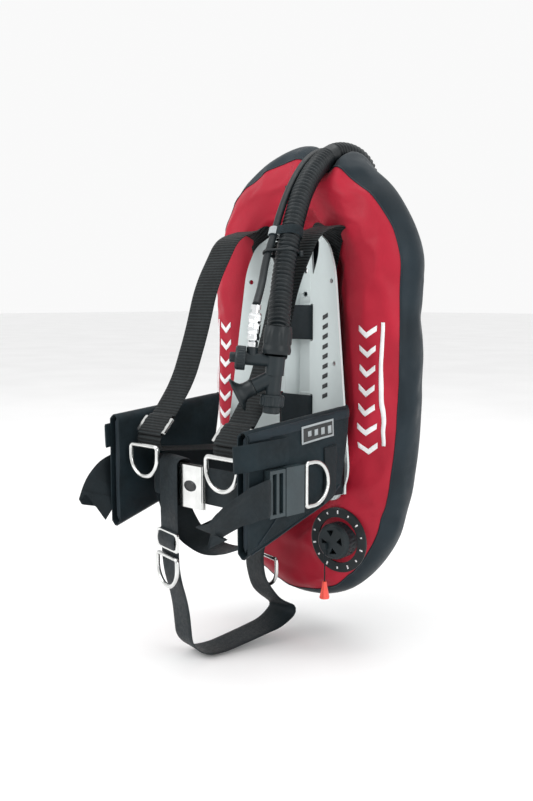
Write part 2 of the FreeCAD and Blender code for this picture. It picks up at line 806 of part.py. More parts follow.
def build_hip_ring():
    """D-ring sewn on the outer face of the left pocket, lying back towards the tank."""
    outer = size("sizes.pocket_x + sizes.pocket_thickness / 2")
    turn = FreeCAD.Rotation(Z_AXIS, V(0, 0, 0), -Y_AXIS, "ZXY")
    build_ring("hip_d_ring_left", FreeCAD.Placement(V(outer + 7.5, -166, -141), turn))


# ---------------------------------------------------------------- inflator

ELBOW_AT = V(46, 72, 235)
COUPLING_REACH = 30.5


def inflator_placement():
    """The inflator's own frame: origin where the hose ends, Z up its body, X towards the mouthpiece."""
    turn = FreeCAD.Rotation(Z_AXIS, size("sizes.inflator_turn"))
    lean = FreeCAD.Rotation(Y_AXIS, -size("sizes.inflator_lean"))
    return FreeCAD.Placement(HOSE_ROUTE[-1], turn.multiply(lean))


def in_inflator(x, z, direction=Z_AXIS):
    local = FreeCAD.Placement(V(x, 0, z), FreeCAD.Rotation(Z_AXIS, direction))
    return inflator_placement().multiply(local)


def build_inflator():
    """Power inflator: body, oral tube and mouthpiece, two buttons with springs, hose coupling."""
    shaped("inflator_body", fused_inflator_body(), inflator_placement())
    cuff = [("15.4", "3"), ("17.5", "3"), ("18.5", "8"), ("17.5", "14"), ("18", "26"), ("17", "38"), ("15.4", "38")]
    turned("hose_cuff", cuff, in_inflator(0, 0))
    mouth = V(0.85, 0, -0.52)
    lip = [("7", "0"), ("10.5", "0"), ("10.5", "14"), ("20", "22"), ("20.5", "24"), ("18.5", "24"), ("9", "16"), ("7", "12")]
    turned("mouthpiece", lip, in_inflator(24.5, -41, mouth))
    cap = [("8.4", "0"), ("15", "0"), ("15.5", "2"), ("15.5", "10"), ("14", "13"), ("7", "13"), ("7", "10"), ("8.4", "10")]
    turned("inflate_cap", cap, in_inflator(38.2, -6, X_AXIS))
    button = [("0", "0"), ("8", "0"), ("8", "3"), ("6.5", "3"), ("6.5", "15.5"), ("5.5", "16.5"), ("0", "16.5")]
    turned("inflate_button", button, in_inflator(42, -6, X_AXIS))
    collar = [("11.5", "0"), ("13.5", "0"), ("14.5", "2"), ("14.5", "13"), ("13.5", "15"), ("11.5", "15")]
    turned("deflate_collar", collar, in_inflator(0, -64.3))
    press = [("0", "0"), ("10", "0"), ("11", "1"), ("11", "16"), ("0", "16")]
    turned("deflate_button", press, in_inflator(0, -73))
    build_spring("inflate_spring", in_inflator(33.1, -6, X_AXIS), 4.8, 1.1, 8.9, 3.5)
    build_spring("deflate_spring", in_inflator(0, -57), 8.3, 1, 4, 1.5)
    nipple = [("0", "0"), ("6.5", "0"), ("6.5", "6"), ("4.5", "8"), ("4.5", "26"), ("0", "26")]
    turned("hose_coupling_nipple", nipple, in_inflator(COUPLING_REACH, 9.3))
    sleeve = [("4.8", "0"), ("7.5", "0"), ("8", "3"), ("7.2", "6"), ("7.2", "22"), ("8.2", "24"), ("8.2", "32"), ("7", "34"), ("4.8", "34")]
    turned("hose_coupling_sleeve", sleeve, in_inflator(COUPLING_REACH, 17.8))
    stem = [("0", "0"), ("4.5", "0"), ("4.5", "20.5"), ("6.3", "20.5"), ("6.3", "26.5"), ("0", "26.5")]
    turned("hose_coupling_stem", stem, in_inflator(COUPLING_REACH, 35.6))


def fused_inflator_body():
    """Moulded body in its own frame, bored for air, with a side housing for the inflate valve."""
    down = -Z_AXIS
    wide = Part.makeCylinder(12, 24, V(0, 0, -0.3), down)
    narrow = Part.makeCylinder(10, 26, V(0, 0, -24), down)
    housing = Part.makeCylinder(8.5, 38, V(0, 0, -6), X_AXIS)
    stub = Part.makeCylinder(7.2, 14.7, V(COUPLING_REACH, 0, -6), Z_AXIS)
    oral = Part.makeCylinder(10, 28, V(0, 0, -26), V(0.85, 0, -0.52))
    body = wide.multiFuse([narrow, housing, stub, oral])
    bore = Part.makeCylinder(7, 60, V(0, 0, 0.1), down)
    oral_bore = Part.makeCylinder(6.5, 30, V(0, 0, -26), V(0.85, 0, -0.52))
    hose_seat = Part.makeCylinder(15.6, 10, V(0, 0, -0.2), Z_AXIS)
    spring_bore = Part.makeCylinder(6.2, 9, V(30, 0, -6), X_AXIS)
    return body.cut([bore, oral_bore, hose_seat, spring_bore]).removeSplitter()


def build_hoses():
    """Corrugated hose from the elbow over the shoulder, and the thin hose that feeds the inflator."""
    shaped("corrugated_hose", tube("corrugated_hose", HOSE_ROUTE, size("sizes.hose_diameter")))
    route = [in_inflator(COUPLING_REACH, 62.4).Base] + LP_HOSE_ROUTE[1:]
    shaped("lp_hose", tube("lp_hose", route, size("sizes.lp_hose_diameter")))
    fitting = [("0", "0"), ("4.76", "0"), ("4.76", "9"), ("8", "9"), ("8", "19"), ("6.5", "21"), ("6.5", "32"), ("0", "32")]
    turned("lp_hose_fitting", fitting, aimed((24, 84, 125.9)))
    corner_at = ELBOW_AT + Y_AXIS * 20
    bend = [ELBOW_AT + Y_AXIS * 3.6, corner_at, HOSE_ROUTE[0] - Z_AXIS * 0.1]
    shaped("inflator_elbow", tube("inflator_elbow", bend, 27.6, 14))
    flange = [("14.3", "0"), ("28", "0"), ("28", "2"), ("20", "3"), ("14.3", "3")]
    turned("elbow_flange", flange, aimed(tuple(ELBOW_AT + Y_AXIS * 0.6), Y_AXIS))


HOSE_RISE = V(-0.19, 0.48, 0.857)


def build_hose_ties():
    """The band that holds both hoses together near the shoulder, and the elastic loop below it."""
    for label, at, lp_at, height, wall in (
        ("hose_band", V(75.9, -118.6, 184), V(63, -136.5, 186), 14, 1.6),
        ("elastic_loop", V(81.9, -132.9, 157), V(70.6, -156.3, 159), 4, 3.0),
    ):
        outer = tie_shape(at, lp_at, height, wall)
        inner = tie_shape(at, lp_at, height * 3, 0.35)
        shaped(label, outer.cut(inner))


def tie_shape(at, lp_at, height, wall):
    """Two sleeves square to both hoses at one height, joined where they meet."""
    large = size("sizes.hose_diameter") / 2 + wall + 1.2
    small = size("sizes.lp_hose_diameter") / 2 + wall + 1.2
    lift = HOSE_RISE * (height / 2)
    first = Part.makeCylinder(large, height, at - lift, HOSE_RISE)
    second = Part.makeCylinder(small, height, lp_at - lift, HOSE_RISE)
    across = lp_at - at
    span = (across - HOSE_RISE * across.dot(HOSE_RISE)).Length
    bridge = Part.makeBox(span, 2 * small, height, V(0, -small, -height / 2))
    turn = FreeCAD.Rotation(across, V(0, 0, 0), HOSE_RISE, "ZXY")
    bridge.Placement = FreeCAD.Placement(at, turn).multiply(bridge.Placement)
    return first.multiFuse([second, bridge]).removeSplitter()


# ---------------------------------------------------------------- dump valve

VALVE_OUT = V(0.1, -0.995, 0)
VALVE_AT = V(98, -37.5, -245)
CORD_AT = V(91, -61.6, -303)
CORD_LENGTH = 55


def build_dump_valve():
    """Pull dump: flange ring, valve body, cover, sealing disc on a spring, cord and knob."""

    def on_valve(lift):
        return aimed(tuple(VALVE_AT + VALVE_OUT * lift), VALVE_OUT)

    rim = "sizes.valve_ring_radius"
    ring = [("33", "0.5"), (rim, "0.5"), (rim, "2.5"), (f"{rim} - 2", "3.5"), ("33", "3.5")]
    turned("dump_valve_ring", ring, on_valve(0.9))
    radius = "sizes.valve_body_radius"
    inside = f"{radius} - 3"
    housing = [("20", "-8"), (radius, "-8"), (radius, "14"), (inside, "14"), (inside, "0"), ("20", "0")]
    turned("dump_valve_body", housing, on_valve(0))
    lid = [("0", "0"), (radius, "0"), (f"{radius} - 1", "3.5"), (f"{radius} - 4", "6"), ("0", "6")]
    cover = turned("dump_valve_cover", lid, on_valve(14.3))
    vents = []
    for turn in (15, 105, 195, 285):
        spots = ((8, turn), (18, turn - 20), (18, turn + 20))
        vents.append([(f"{r} * cos({a})", f"{r} * sin({a})") for r, a in spots])
    pocket(cover, "XY_Plane", vents, [], "30")
    disc = [("0", "0.2"), ("22", "0.2"), ("22", "2.7"), ("6", "2.7"), ("6", "5"), ("0", "5")]
    turned("dump_valve_disc", disc, on_valve(0))
    build_spring("dump_spring", on_valve(2.7), 9, 1.2, 8, 3)
    guide = Part.makeBox(6, 5, 9, CORD_AT + V(-3, -2.5, 47))
    bore = Part.makeCylinder(1.8, 20, CORD_AT + Z_AXIS * 40, Z_AXIS)
    shaped("dump_cord_guide", guide.cut(bore))
    cord = Part.makeCylinder(size("sizes.pull_cord_diameter") / 2, CORD_LENGTH, CORD_AT, Z_AXIS)
    shaped("dump_cord", cord)
    knob = [("0", "0"), ("7", "0"), ("7.5", "3"), ("6", "8"), ("3.5", "20"), ("3", "24"), ("0", "24")]
    turned("dump_knob", knob, aimed(tuple(CORD_AT - Z_AXIS * 24.2)))


def build_spring(label, placement, radius, wire, length, turns):
    """A coil spring standing on its own Z, with a wire's half thickness free at each end."""
    height = length - 2 * wire
    helix = Part.makeHelix(height / turns, height, radius)
    profile = Part.Wire(Part.Circle(V(radius, 0, 0), Y_AXIS, wire / 2).toShape())
    coil = Part.Wire(helix.Edges).makePipeShell([profile], True, True)
    lifted = FreeCAD.Placement(Z_AXIS * wire, FreeCAD.Rotation())
    shaped(label, coil, placement.multiply(lifted))


# ---------------------------------------------------------------- build and write


def check_document():
    doc.recompute()
    for item in doc.Objects:
        if "Invalid" in item.State or "Error" in item.State:
            raise RuntimeError(f"{item.Label} failed: {item.State}")
    bad = [piece.Label for piece in nodes if piece.Shape.isNull() or not piece.Shape.isValid()]
    if bad:
        raise RuntimeError(f"not valid shapes: {bad}")


def write_steps():
    os.makedirs("parts", exist_ok=True)
    for piece in nodes:
        piece.Shape.exportStep(f"parts/{piece.Label}.step")
    print(len(nodes), "nodes written")


build_backplate()
build_wing()
build_centre_panel()
build_tank_bands()
build_shoulder_straps()
build_waist_straps()
build_crotch_strap()
build_metalware()
build_waist_buckle()
build_pockets()
build_hip_ring()
build_inflator()
build_hoses()
build_hose_ties()
build_dump_valve()
check_document()
write_steps()
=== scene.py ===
"""Looks of the backplate-and-wing buoyancy compensator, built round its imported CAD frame.

Metres, in the CAD's own frame: +Z up, -Y towards the diver's front, +X to the diver's left.
"""
import json
import math

import bmesh
import bpy
from mathutils import Matrix, Vector, noise
from mathutils.bvhtree import BVHTree
from mathutils.kdtree import KDTree


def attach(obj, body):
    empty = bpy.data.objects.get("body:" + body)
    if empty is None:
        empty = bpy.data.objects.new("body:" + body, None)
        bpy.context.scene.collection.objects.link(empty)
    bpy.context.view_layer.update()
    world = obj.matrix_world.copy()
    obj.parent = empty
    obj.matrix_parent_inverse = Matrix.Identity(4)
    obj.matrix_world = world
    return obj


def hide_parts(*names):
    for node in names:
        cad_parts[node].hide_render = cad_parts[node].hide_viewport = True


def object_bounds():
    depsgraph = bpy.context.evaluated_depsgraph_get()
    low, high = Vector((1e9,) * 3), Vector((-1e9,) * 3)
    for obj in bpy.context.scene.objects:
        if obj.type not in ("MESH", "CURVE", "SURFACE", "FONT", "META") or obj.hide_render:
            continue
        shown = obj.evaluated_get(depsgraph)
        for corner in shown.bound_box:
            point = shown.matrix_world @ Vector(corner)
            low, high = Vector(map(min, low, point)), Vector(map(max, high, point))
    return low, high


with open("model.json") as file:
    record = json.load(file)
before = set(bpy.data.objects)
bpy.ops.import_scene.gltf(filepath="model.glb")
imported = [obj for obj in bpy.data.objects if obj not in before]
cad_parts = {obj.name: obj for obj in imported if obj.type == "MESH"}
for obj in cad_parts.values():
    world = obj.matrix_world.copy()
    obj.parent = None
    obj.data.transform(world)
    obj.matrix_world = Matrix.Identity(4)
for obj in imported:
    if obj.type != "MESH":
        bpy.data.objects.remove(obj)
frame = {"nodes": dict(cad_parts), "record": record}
cad_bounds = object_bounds()
CAD = frame["nodes"]
X_AXIS, Y_AXIS, Z_AXIS = Vector((1, 0, 0)), Vector((0, 1, 0)), Vector((0, 0, 1))
WEBBING_WIDTH = 0.05
SIDES = {"left": 1, "right": -1}

# ---------------------------------------------------------------- camera, light and floor


def link(name, data):
    made = bpy.data.objects.new(name, data)
    bpy.context.scene.collection.objects.link(made)
    return made


def add_camera():
    camera = link("camera", bpy.data.cameras.new("camera"))
    camera.data.lens = 42.25
    camera.data.clip_end = 50
    camera.location = (0.939, -1.059, 0.097)
    camera.rotation_euler = (math.radians(90 - 6.13), 0, math.radians(44))
    bpy.context.scene.camera = camera


def add_softbox(name, at, size, power):
    light = bpy.data.lights.new(name, "AREA")
    light.shape = "RECTANGLE"
    light.size, light.size_y = size
    light.energy = power
    lamp = link(name, light)
    lamp.location = at
    aim = Vector((0, 0, 0.02)) - lamp.location
    lamp.rotation_euler = aim.to_track_quat("-Z", "Y").to_euler()


def add_light():
    scene = bpy.context.scene
    scene.view_settings.view_transform = "Standard"
    world = bpy.data.worlds.new("studio")
    world.use_nodes = True
    background = world.node_tree.nodes["Background"]
    background.inputs["Color"].default_value = (1, 1, 1, 1)
    background.inputs["Strength"].default_value = 0.95
    scene.world = world
    add_softbox("key", (-0.9, -2.2, 1.5), (1.4, 1.8), 38)
    add_softbox("side", (2.4, -0.5, 0.7), (1.0, 1.8), 20)
    add_softbox("top", (0.2, 0.4, 2.4), (2.0, 2.0), 22)


def add_floor():
    lowest = cad_bounds[0].z - 0.004
    floor = mesh_object("floor", [(x, y, lowest) for x, y in ((-30, -30), (30, -30), (30, 30), (-30, 30))],
                        [(0, 1, 2, 3)])
    floor.data.materials.append(material("floor_paint", (0.9, 0.9, 0.9), 0.8, drift=0.02, scale=2))


# ---------------------------------------------------------------- materials


def node(tree, kind, inputs=None, **settings):
    """A shader node; each input takes a number, a colour or another node's output."""
    made = tree.nodes.new("ShaderNode" + kind)
    for key, value in settings.items():
        setattr(made, key, value)
    for key, value in (inputs or {}).items():
        if isinstance(value, bpy.types.NodeSocket):
            tree.links.new(value, made.inputs[key])
        else:
            made.inputs[key].default_value = value
    return made


def ramp(tree, factor, stops):
    """A colour or grey that follows a factor through stops of (place, colour)."""
    made = node(tree, "ValToRGB", {"Fac": factor})
    elements = made.color_ramp.elements
    while len(elements) < len(stops):
        elements.new(0.5)
    for element, (place, colour) in zip(elements, stops):
        element.position = place
        element.color = (*colour, 1)
    return made.outputs["Color"]


def grain(tree, where, scale, detail=3.0):
    return node(tree, "TexNoise", {"Vector": where, "Scale": scale, "Detail": detail}).outputs["Fac"]


def bands(tree, where, pitch, direction, wobble=0.0):
    """Ribs of a given pitch across one of the texture's own directions."""
    inputs = {"Vector": where, "Scale": math.pi / 10 / pitch, "Distortion": wobble, "Detail": 1.0}
    return node(tree, "TexWave", inputs, wave_type="BANDS", bands_direction=direction).outputs["Fac"]


def weave(tree, where, pitch):
    """Threads that cross at right angles."""
    over = bands(tree, where, pitch, "X", 0.4)
    under = bands(tree, where, pitch, "Y", 0.4)
    return node(tree, "Math", {0: over, 1: under}, operation="MULTIPLY").outputs[0]


def material(name, colour, roughness, drift=0.12, scale=14.0, mapping="Object", layers=(), shade=None,
             **sockets):
    """A material whose colour and roughness drift a little over the surface, with layers of relief.

    A layer is a function of the tree and the coordinates, then a strength and a depth in metres.
    shade is such a function too, and paints shade and light into the colour: darker where it is low, lighter
    where it is high.
    """
    made = bpy.data.materials.new(name)
    made.use_nodes = True
    tree = made.node_tree
    shader = tree.nodes["Principled BSDF"]
    where = node(tree, "TexCoord").outputs[mapping]
    cloud = grain(tree, where, scale, 5.0)
    low = [c * (1 - drift) for c in colour]
    high = [min(1, c * (1 + drift)) for c in colour]
    paint = ramp(tree, cloud, [(0.35, low), (0.65, high)])
    if shade is not None:
        # painted shade and light: the colour is multiplied by 0.3 where the shade function is low and by 1.25
        # where it is high
        painted_light_factor = ramp(tree, shade(tree, where), [(0.15, (0.3, 0.3, 0.3)), (0.75, (1.25, 1.25, 1.25))])
        multiply = node(tree, "VectorMath", {0: paint, 1: painted_light_factor}, operation="MULTIPLY")
        paint = multiply.outputs[0]
    tree.links.new(paint, shader.inputs["Base Color"])
    stops = [(0.3, [roughness * 0.85] * 3), (0.7, [min(1, roughness * 1.15)] * 3)]
    rough = ramp(tree, grain(tree, where, scale * 6), stops)
    tree.links.new(rough, shader.inputs["Roughness"])
    relief = None
    for height, strength, depth in layers:
        inputs = {"Height": height(tree, where), "Strength": strength, "Distance": depth}
        if relief is not None:
            inputs["Normal"] = relief
        relief = node(tree, "Bump", inputs).outputs["Normal"]
    if relief is not None:
        tree.links.new(relief, shader.inputs["Normal"])
    for key, value in sockets.items():
        shader.inputs[key.replace("_", " ")].default_value = value
    return made


def crumple(scale):
    return lambda tree, where: grain(tree, where, scale, 6.0)


def threads(pitch):
    return lambda tree, where: weave(tree, where, pitch)


def ribs(pitch, direction="X"):
    return lambda tree, where: bands(tree, where, pitch, direction, 0.25)


def make_materials():
    soft = {"Sheen_Weight": 0.05, "Sheen_Roughness": 0.4, "Specular_IOR_Level": 0.16}
    cloth = ((crumple(16), 0.30, 0.004), (crumple(70), 0.22, 0.0012), (threads(0.0011), 0.25, 0.0002))
    fibre = ((threads(0.0012), 0.45, 0.0003), (crumple(60), 0.2, 0.0008))
    return {
        "red_nylon": material("red_nylon", (0.36, 0.013, 0.030), 0.5, 0.12, 9, "UV", cloth, **soft),
        "black_nylon": material("black_nylon", (0.012, 0.020, 0.026), 0.5, 0.25, 10, "UV", cloth, **soft),
        "pocket_nylon": material("pocket_nylon", (0.007, 0.014, 0.018), 0.6, 0.3, 22, "UV", fibre, **soft),
        # the rib relief also goes into this webbing's colour, as painted shade in the grooves and painted
        # light on the rib tops
        "ribbed_webbing": material("ribbed_webbing", (0.010, 0.013, 0.014), 0.6, 0.2, 30, "UV",
                                   ((ribs(0.0046), 0.9, 0.0009), (threads(0.0013), 0.3, 0.0002)),
                                   shade=ribs(0.0046), **soft),
        "smooth_webbing": material("smooth_webbing", (0.009, 0.014, 0.017), 0.55, 0.2, 30, "UV",
                                   ((ribs(0.0017, "Y"), 0.5, 0.0003), (crumple(60), 0.2, 0.0006)), **soft),
        "thread": material("thread", (0.045, 0.052, 0.056), 0.6, 0.2, 200),
        "plate_metal": material("plate_metal", (0.60, 0.66, 0.66), 0.5, 0.04, 8,
                                layers=((crumple(900), 0.12, 0.0002),),
                                Metallic=0.55),
        "steel": material("steel", (0.66, 0.67, 0.66), 0.2, 0.08, 60, layers=((crumple(400), 0.05, 0.0002),),
                          Metallic=1.0),
        "chrome": material("chrome", (0.82, 0.84, 0.85), 0.09, 0.04, 60, Metallic=1.0),
        "dark_metal": material("dark_metal", (0.05, 0.055, 0.06), 0.4, 0.2, 90, Metallic=0.6),
        "plastic": material("plastic", (0.010, 0.016, 0.019), 0.42, 0.15, 40,
                            layers=((crumple(1100), 0.12, 0.0001),),
                            Specular_IOR_Level=0.3),
        "grey_plastic": material("grey_plastic", (0.022, 0.036, 0.042), 0.45, 0.12, 40,
                                 layers=((crumple(1100), 0.15, 0.0001),)),
        "rubber": material("rubber", (0.008, 0.012, 0.014), 0.42, 0.2, 30,
                           layers=((crumple(500), 0.12, 0.0002),),
                           Specular_IOR_Level=0.3),
        "red_plastic": material("red_plastic", (0.78, 0.075, 0.05), 0.4, 0.08, 60,
                                layers=((crumple(700), 0.1, 0.0001),)),
        "white_print": material("white_print", (0.78, 0.77, 0.78), 0.55, 0.05, 80,
                                layers=((crumple(900), 0.15, 0.0001),)),
        "black_print": material("black_print", (0.012, 0.014, 0.015), 0.45, 0.2, 80),
        "grey_print": material("grey_print", (0.30, 0.33, 0.34), 0.55, 0.1, 80),
    }


# ---------------------------------------------------------------- mesh making


def mesh_object(name, points, faces, marks=None):
    """An object from points and faces; marks gives each point's place on the texture, in metres."""
    mesh = bpy.data.meshes.new(name)
    mesh.from_pydata([tuple(p) for p in points], [], faces)
    mesh.update()
    if marks is not None:
        layer = mesh.uv_layers.new(name="flat")
        for loop in mesh.loops:
            layer.data[loop.index].uv = marks[loop.vertex_index]
    return link(name, mesh)


def finish_piece(piece, look, body="root", sharp=35):
    """Give a new piece its material and its body, and smooth it except at sharp edges."""
    if look is not None:
        piece.data.materials.append(LOOKS[look])
    if piece.type == "MESH":
        piece.data.shade_smooth()
        piece.data.set_sharp_from_angle(angle=math.radians(sharp))
    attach(piece, body)
    return piece


def whole(form):
    """Everything in a mesh form, as the cutting tool takes it."""
    return form.verts[:] + form.edges[:] + form.faces[:]


def add_modifier(piece, kind, **settings):
    made = piece.modifiers.new(kind.lower(), kind)
    for key, value in settings.items():
        setattr(made, key, value)
    return made


def skinned(name, rings, closed=False, capped=True, marks=None):
    """A surface through rings of the same number of points, each ring closed on itself."""
    count = len(rings[0])
    points = [p for ring in rings for p in ring]
    faces = []
    for i in range(len(rings) if closed else len(rings) - 1):
        for j in range(count):
            corners = ((i, j), (i, j + 1), (i + 1, j + 1), (i + 1, j))
            faces.append([(a % len(rings)) * count + b % count for a, b in corners])
    if capped and not closed:
        faces.append(list(range(count))[::-1])
        faces.append([(len(rings) - 1) * count + j for j in range(count)])
    return mesh_object(name, points, faces, marks)


def rounded(points, reaches=None, closed=False, steps=8):
    """Straight runs whose corners are rounded over a reach each way, or over 0.45 of the shorter run."""
    places = [Vector(p) for p in points]
    count = len(places)
    inner = range(count) if closed else range(1, count - 1)
    if not isinstance(reaches, (list, tuple)):
        reaches = [reaches] * len(inner)
    line = [] if closed else [places[0]]
    for i, reach in zip(inner, reaches):
        corner = places[i]
        back, ahead = places[i - 1] - corner, places[(i + 1) % count] - corner
        share = 0.45 * min(back.length, ahead.length)
        share = share if reach is None else min(reach, share)
        before, after = corner + back.normalized() * share, corner + ahead.normalized() * share
        for k in range(steps + 1):
            t = k / steps
            line.append(before * (1 - t) ** 2 + corner * 2 * t * (1 - t) + after * t ** 2)
    return line if closed else line + [places[-1]]


def spaced(line, step):
    """The same line with its points evenly spaced."""
    lengths = [0.0]
    for a, b in zip(line, line[1:]):
        lengths.append(lengths[-1] + (b - a).length)
    count = max(2, round(lengths[-1] / step))
    places, at = [], 0
    for i in range(count + 1):
        target = lengths[-1] * i / count
        while at < len(line) - 2 and lengths[at + 1] < target:
            at += 1
        run = max(lengths[at + 1] - lengths[at], 1e-9)
        places.append(line[at].lerp(line[at + 1], min(1, (target - lengths[at]) / run)))
    return places


def tangents(line):
    ends = [line[0]] + line[:-2] + [line[-2]], [line[1]] + line[2:] + [line[-1]]
    return [(b - a).normalized() for a, b in zip(*ends)]


def carried(line, side):
    """Directions across a line, turned as little as possible from one point to the next."""
    sides, side = [], Vector(side)
    for direction in tangents(line):
        side = (side - direction * side.dot(direction)).normalized()
        sides.append(side)
    return sides


def webbing(name, points, across, width, look, body="root", thickness=0.0025, reaches=None,
            waves=0.0):
    """Flat webbing along a line; across is one direction, or one for each given point."""
    step = 0.003
    line = spaced(rounded(points, reaches), step)
    if isinstance(across[0], (int, float)):
        across = [across] * len(points)
    keys = [nearest_share(line, Vector(p)) for p in points]
    rings, marks = [], []
    profile = webbing_profile(width, thickness)
    for i, (at, direction) in enumerate(zip(line, tangents(line))):
        side = blended(keys, across, i / (len(line) - 1))
        side = (side - direction * side.dot(direction)).normalized()
        face = direction.cross(side)
        bow = waves * noise.noise(at * 22)
        rings.append([at + side * a + face * (b + bow * (1 - (2 * a / width) ** 2)) for a, b in profile])
        marks += [(i * step, a + 0.1 * b) for a, b in profile]
    return finish_piece(skinned(name, rings, marks=marks), look, body)


def webbing_profile(width, thickness):
    """Section of webbing: flat faces with rounded selvedges."""
    half, thin = width / 2, thickness / 2
    steps = [-1 + 2 * i / 12 for i in range(13)]
    upper = [(half * s, thin * (1 - 0.75 * abs(s) ** 14)) for s in steps]
    lower = [(a, -b) for a, b in reversed(upper)]
    return upper + lower


def nearest_share(line, point):
    best = min(range(len(line)), key=lambda i: (line[i] - point).length)
    return best / (len(line) - 1)


def blended(keys, values, share):
    """A vector between given ones, by where a share falls among the keys."""
    for (k0, v0), (k1, v1) in zip(zip(keys, values), zip(keys[1:], values[1:])):
        if share <= k1:
            t = 0 if k1 == k0 else max(0, (share - k0) / (k1 - k0))
            t = t * t * (3 - 2 * t)
            return Vector(v0).lerp(Vector(v1), t)
    return Vector(values[-1])


def lathe(name, profile, place, look, body="root", sides=48, flutes=0, depth=0.0, sharp=35):
    """A turned piece about its frame's Z, from radius and height pairs.

    A third value is how deep the flutes cut there, from 0 to 1, and a fourth how much narrower it is along Y.
    """
    rings = []
    for radius, height, *more in profile:
        cut, oval = (more + [0, 1][len(more):])
        ring = []
        for i in range(sides):
            angle = 2 * math.pi * i / sides
            inward = depth * (0.5 - 0.5 * math.cos(flutes * angle)) * cut
            spot = Vector((math.cos(angle) * (radius - inward), math.sin(angle) * (radius - inward) * oval,
                           height))
            ring.append(place @ spot)
        rings.append(ring)
    return finish_piece(skinned(name, rings, capped=profile[0] != profile[-1]), look, body, sharp)


# ---------------------------------------------------------------- cords

HOSE_STEP = 0.00075
HOSE_ROUTE = [
    (0.046, 0.092, 0.25),
    (0.046, 0.092, 0.278),
    (0.044, 0.074, 0.303),
    (0.041, 0.044, 0.313),
    (0.04, 0.008, 0.308),
    (0.0508, -0.04, 0.2817),
    (0.0596, -0.076, 0.247),
    (0.0694, -0.101, 0.2135),
    (0.0774, -0.1225, 0.1774),
    (0.0855, -0.141, 0.141),
    (0.0957, -0.1585, 0.1042),
    (0.1087, -0.177, 0.0645),
    (0.1228, -0.1965, 0.026),
]
LP_HOSE_ROUTE = [
    (0.1048, -0.2138, 0.0908),
    (0.089, -0.188, 0.113),
    (0.0739, -0.165, 0.1472),
    (0.0645, -0.14, 0.1812),
    (0.0519, -0.111, 0.2207),
    (0.0381, -0.075, 0.2597),
    (0.0256, -0.034, 0.2945),
    (0.0186, 0.009, 0.3154),
    (0.0168, 0.05, 0.3121),
    (0.022, 0.08, 0.282),
    (0.023, 0.089, 0.24),
    (0.024, 0.084, 0.198),
    (0.024, 0.084, 0.158),
]
PULL_CORD_ROUTE = [
    (0.091, -0.0616, -0.248),
    (0.091, -0.0616, -0.264),
    (0.091, -0.0616, -0.284),
    (0.091, -0.0616, -0.303),
]
HOSE_RADIUS = 0.015
HOSE_PITCH = 0.0062


def route_curve(name, route, radius=0.0):
    curve = bpy.data.curves.new(name, "CURVE")
    curve.dimensions = "3D"
    spline = curve.splines.new("NURBS")
    spline.points.add(len(route) - 1)
    for point, at in zip(spline.points, route):
        point.co = (*at, 1)
    spline.order_u = 3
    spline.use_endpoint_u = True
    spline.resolution_u = 16
    curve.bevel_depth = radius
    curve.bevel_resolution = 6
    curve.use_fill_caps = True
    return link(name, curve)


def line_of(route):
    """The smooth line of a route, as points."""
    guide = route_curve("guide", route)
    mesh = bpy.data.meshes.new_from_object(guide)
    line = [v.co.copy() for v in mesh.vertices]
    bpy.data.meshes.remove(mesh)
    bpy.data.objects.remove(guide)
    return line


def hose_radius(at, length):
    """Radius of the corrugated hose: rings, plain cuffs at its ends and one plain stretch at the arch."""
    plain = max(
        plain_share(at, 0.0, 0.016),
        plain_share(at, length - 0.03, length),
        plain_share(at, 0.125, 0.142),
    )
    wave = 0.5 + 0.5 * math.cos(2 * math.pi * at / HOSE_PITCH)
    return HOSE_RADIUS - 0.0026 * (1 - wave ** 0.7) * (1 - plain) - 0.0004 * plain


def plain_share(at, start, end):
    edge = 0.0008
    return max(0.0, min(1.0, (at - start) / edge + 1)) * max(0.0, min(1.0, (end - at) / edge + 1))


def add_cords():
    """The corrugated hose, the thin hose, and the dump valve's pull cord."""
    line = spaced(line_of(HOSE_ROUTE), HOSE_STEP)
    length = sum((b - a).length for a, b in zip(line, line[1:]))
    rings, marks, sides = [], [], 36
    for i, (at, direction, side) in enumerate(zip(line, tangents(line), carried(line, X_AXIS))):
        radius = hose_radius(i * HOSE_STEP, length)
        lift = direction.cross(side)
        turns = [2 * math.pi * j / sides for j in range(sides)]
        rings.append([at + (side * math.cos(a) + lift * math.sin(a)) * radius for a in turns])
        marks += [(i * HOSE_STEP, 0.015 * a) for a in turns]
    hose = finish_piece(skinned("corrugated_air_hose", rings, marks=marks), "rubber",
                        sharp=60)
    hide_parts("corrugated_hose")
    thin = finish_piece(route_curve("low_pressure_hose", LP_HOSE_ROUTE, 0.005), "rubber")
    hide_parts("lp_hose")
    pull = finish_piece(route_curve("pull_cord", PULL_CORD_ROUTE, 0.001), "smooth_webbing", "dump_pull")
    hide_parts("dump_cord")
    knob = add_pull_knob()


def add_pull_knob():
    """Flared red knob with finger flutes at the end of the pull cord."""
    profile = [(0.0008, 0.0), (0.0030, 0.0), (0.0034, -0.002), (0.0040, -0.007, 1), (0.0056, -0.014, 1)]
    profile += [(0.0070, -0.020, 1), (0.0075, -0.0225, 0.6), (0.0070, -0.0243), (0.0008, -0.0243)]
    place = Matrix.Translation(PULL_CORD_ROUTE[-1])
    knob = lathe("pull_knob", profile[::-1], place, "red_plastic", "dump_pull", 48, 6, 0.0012)
    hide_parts("dump_knob")
    return knob


# ---------------------------------------------------------------- wing

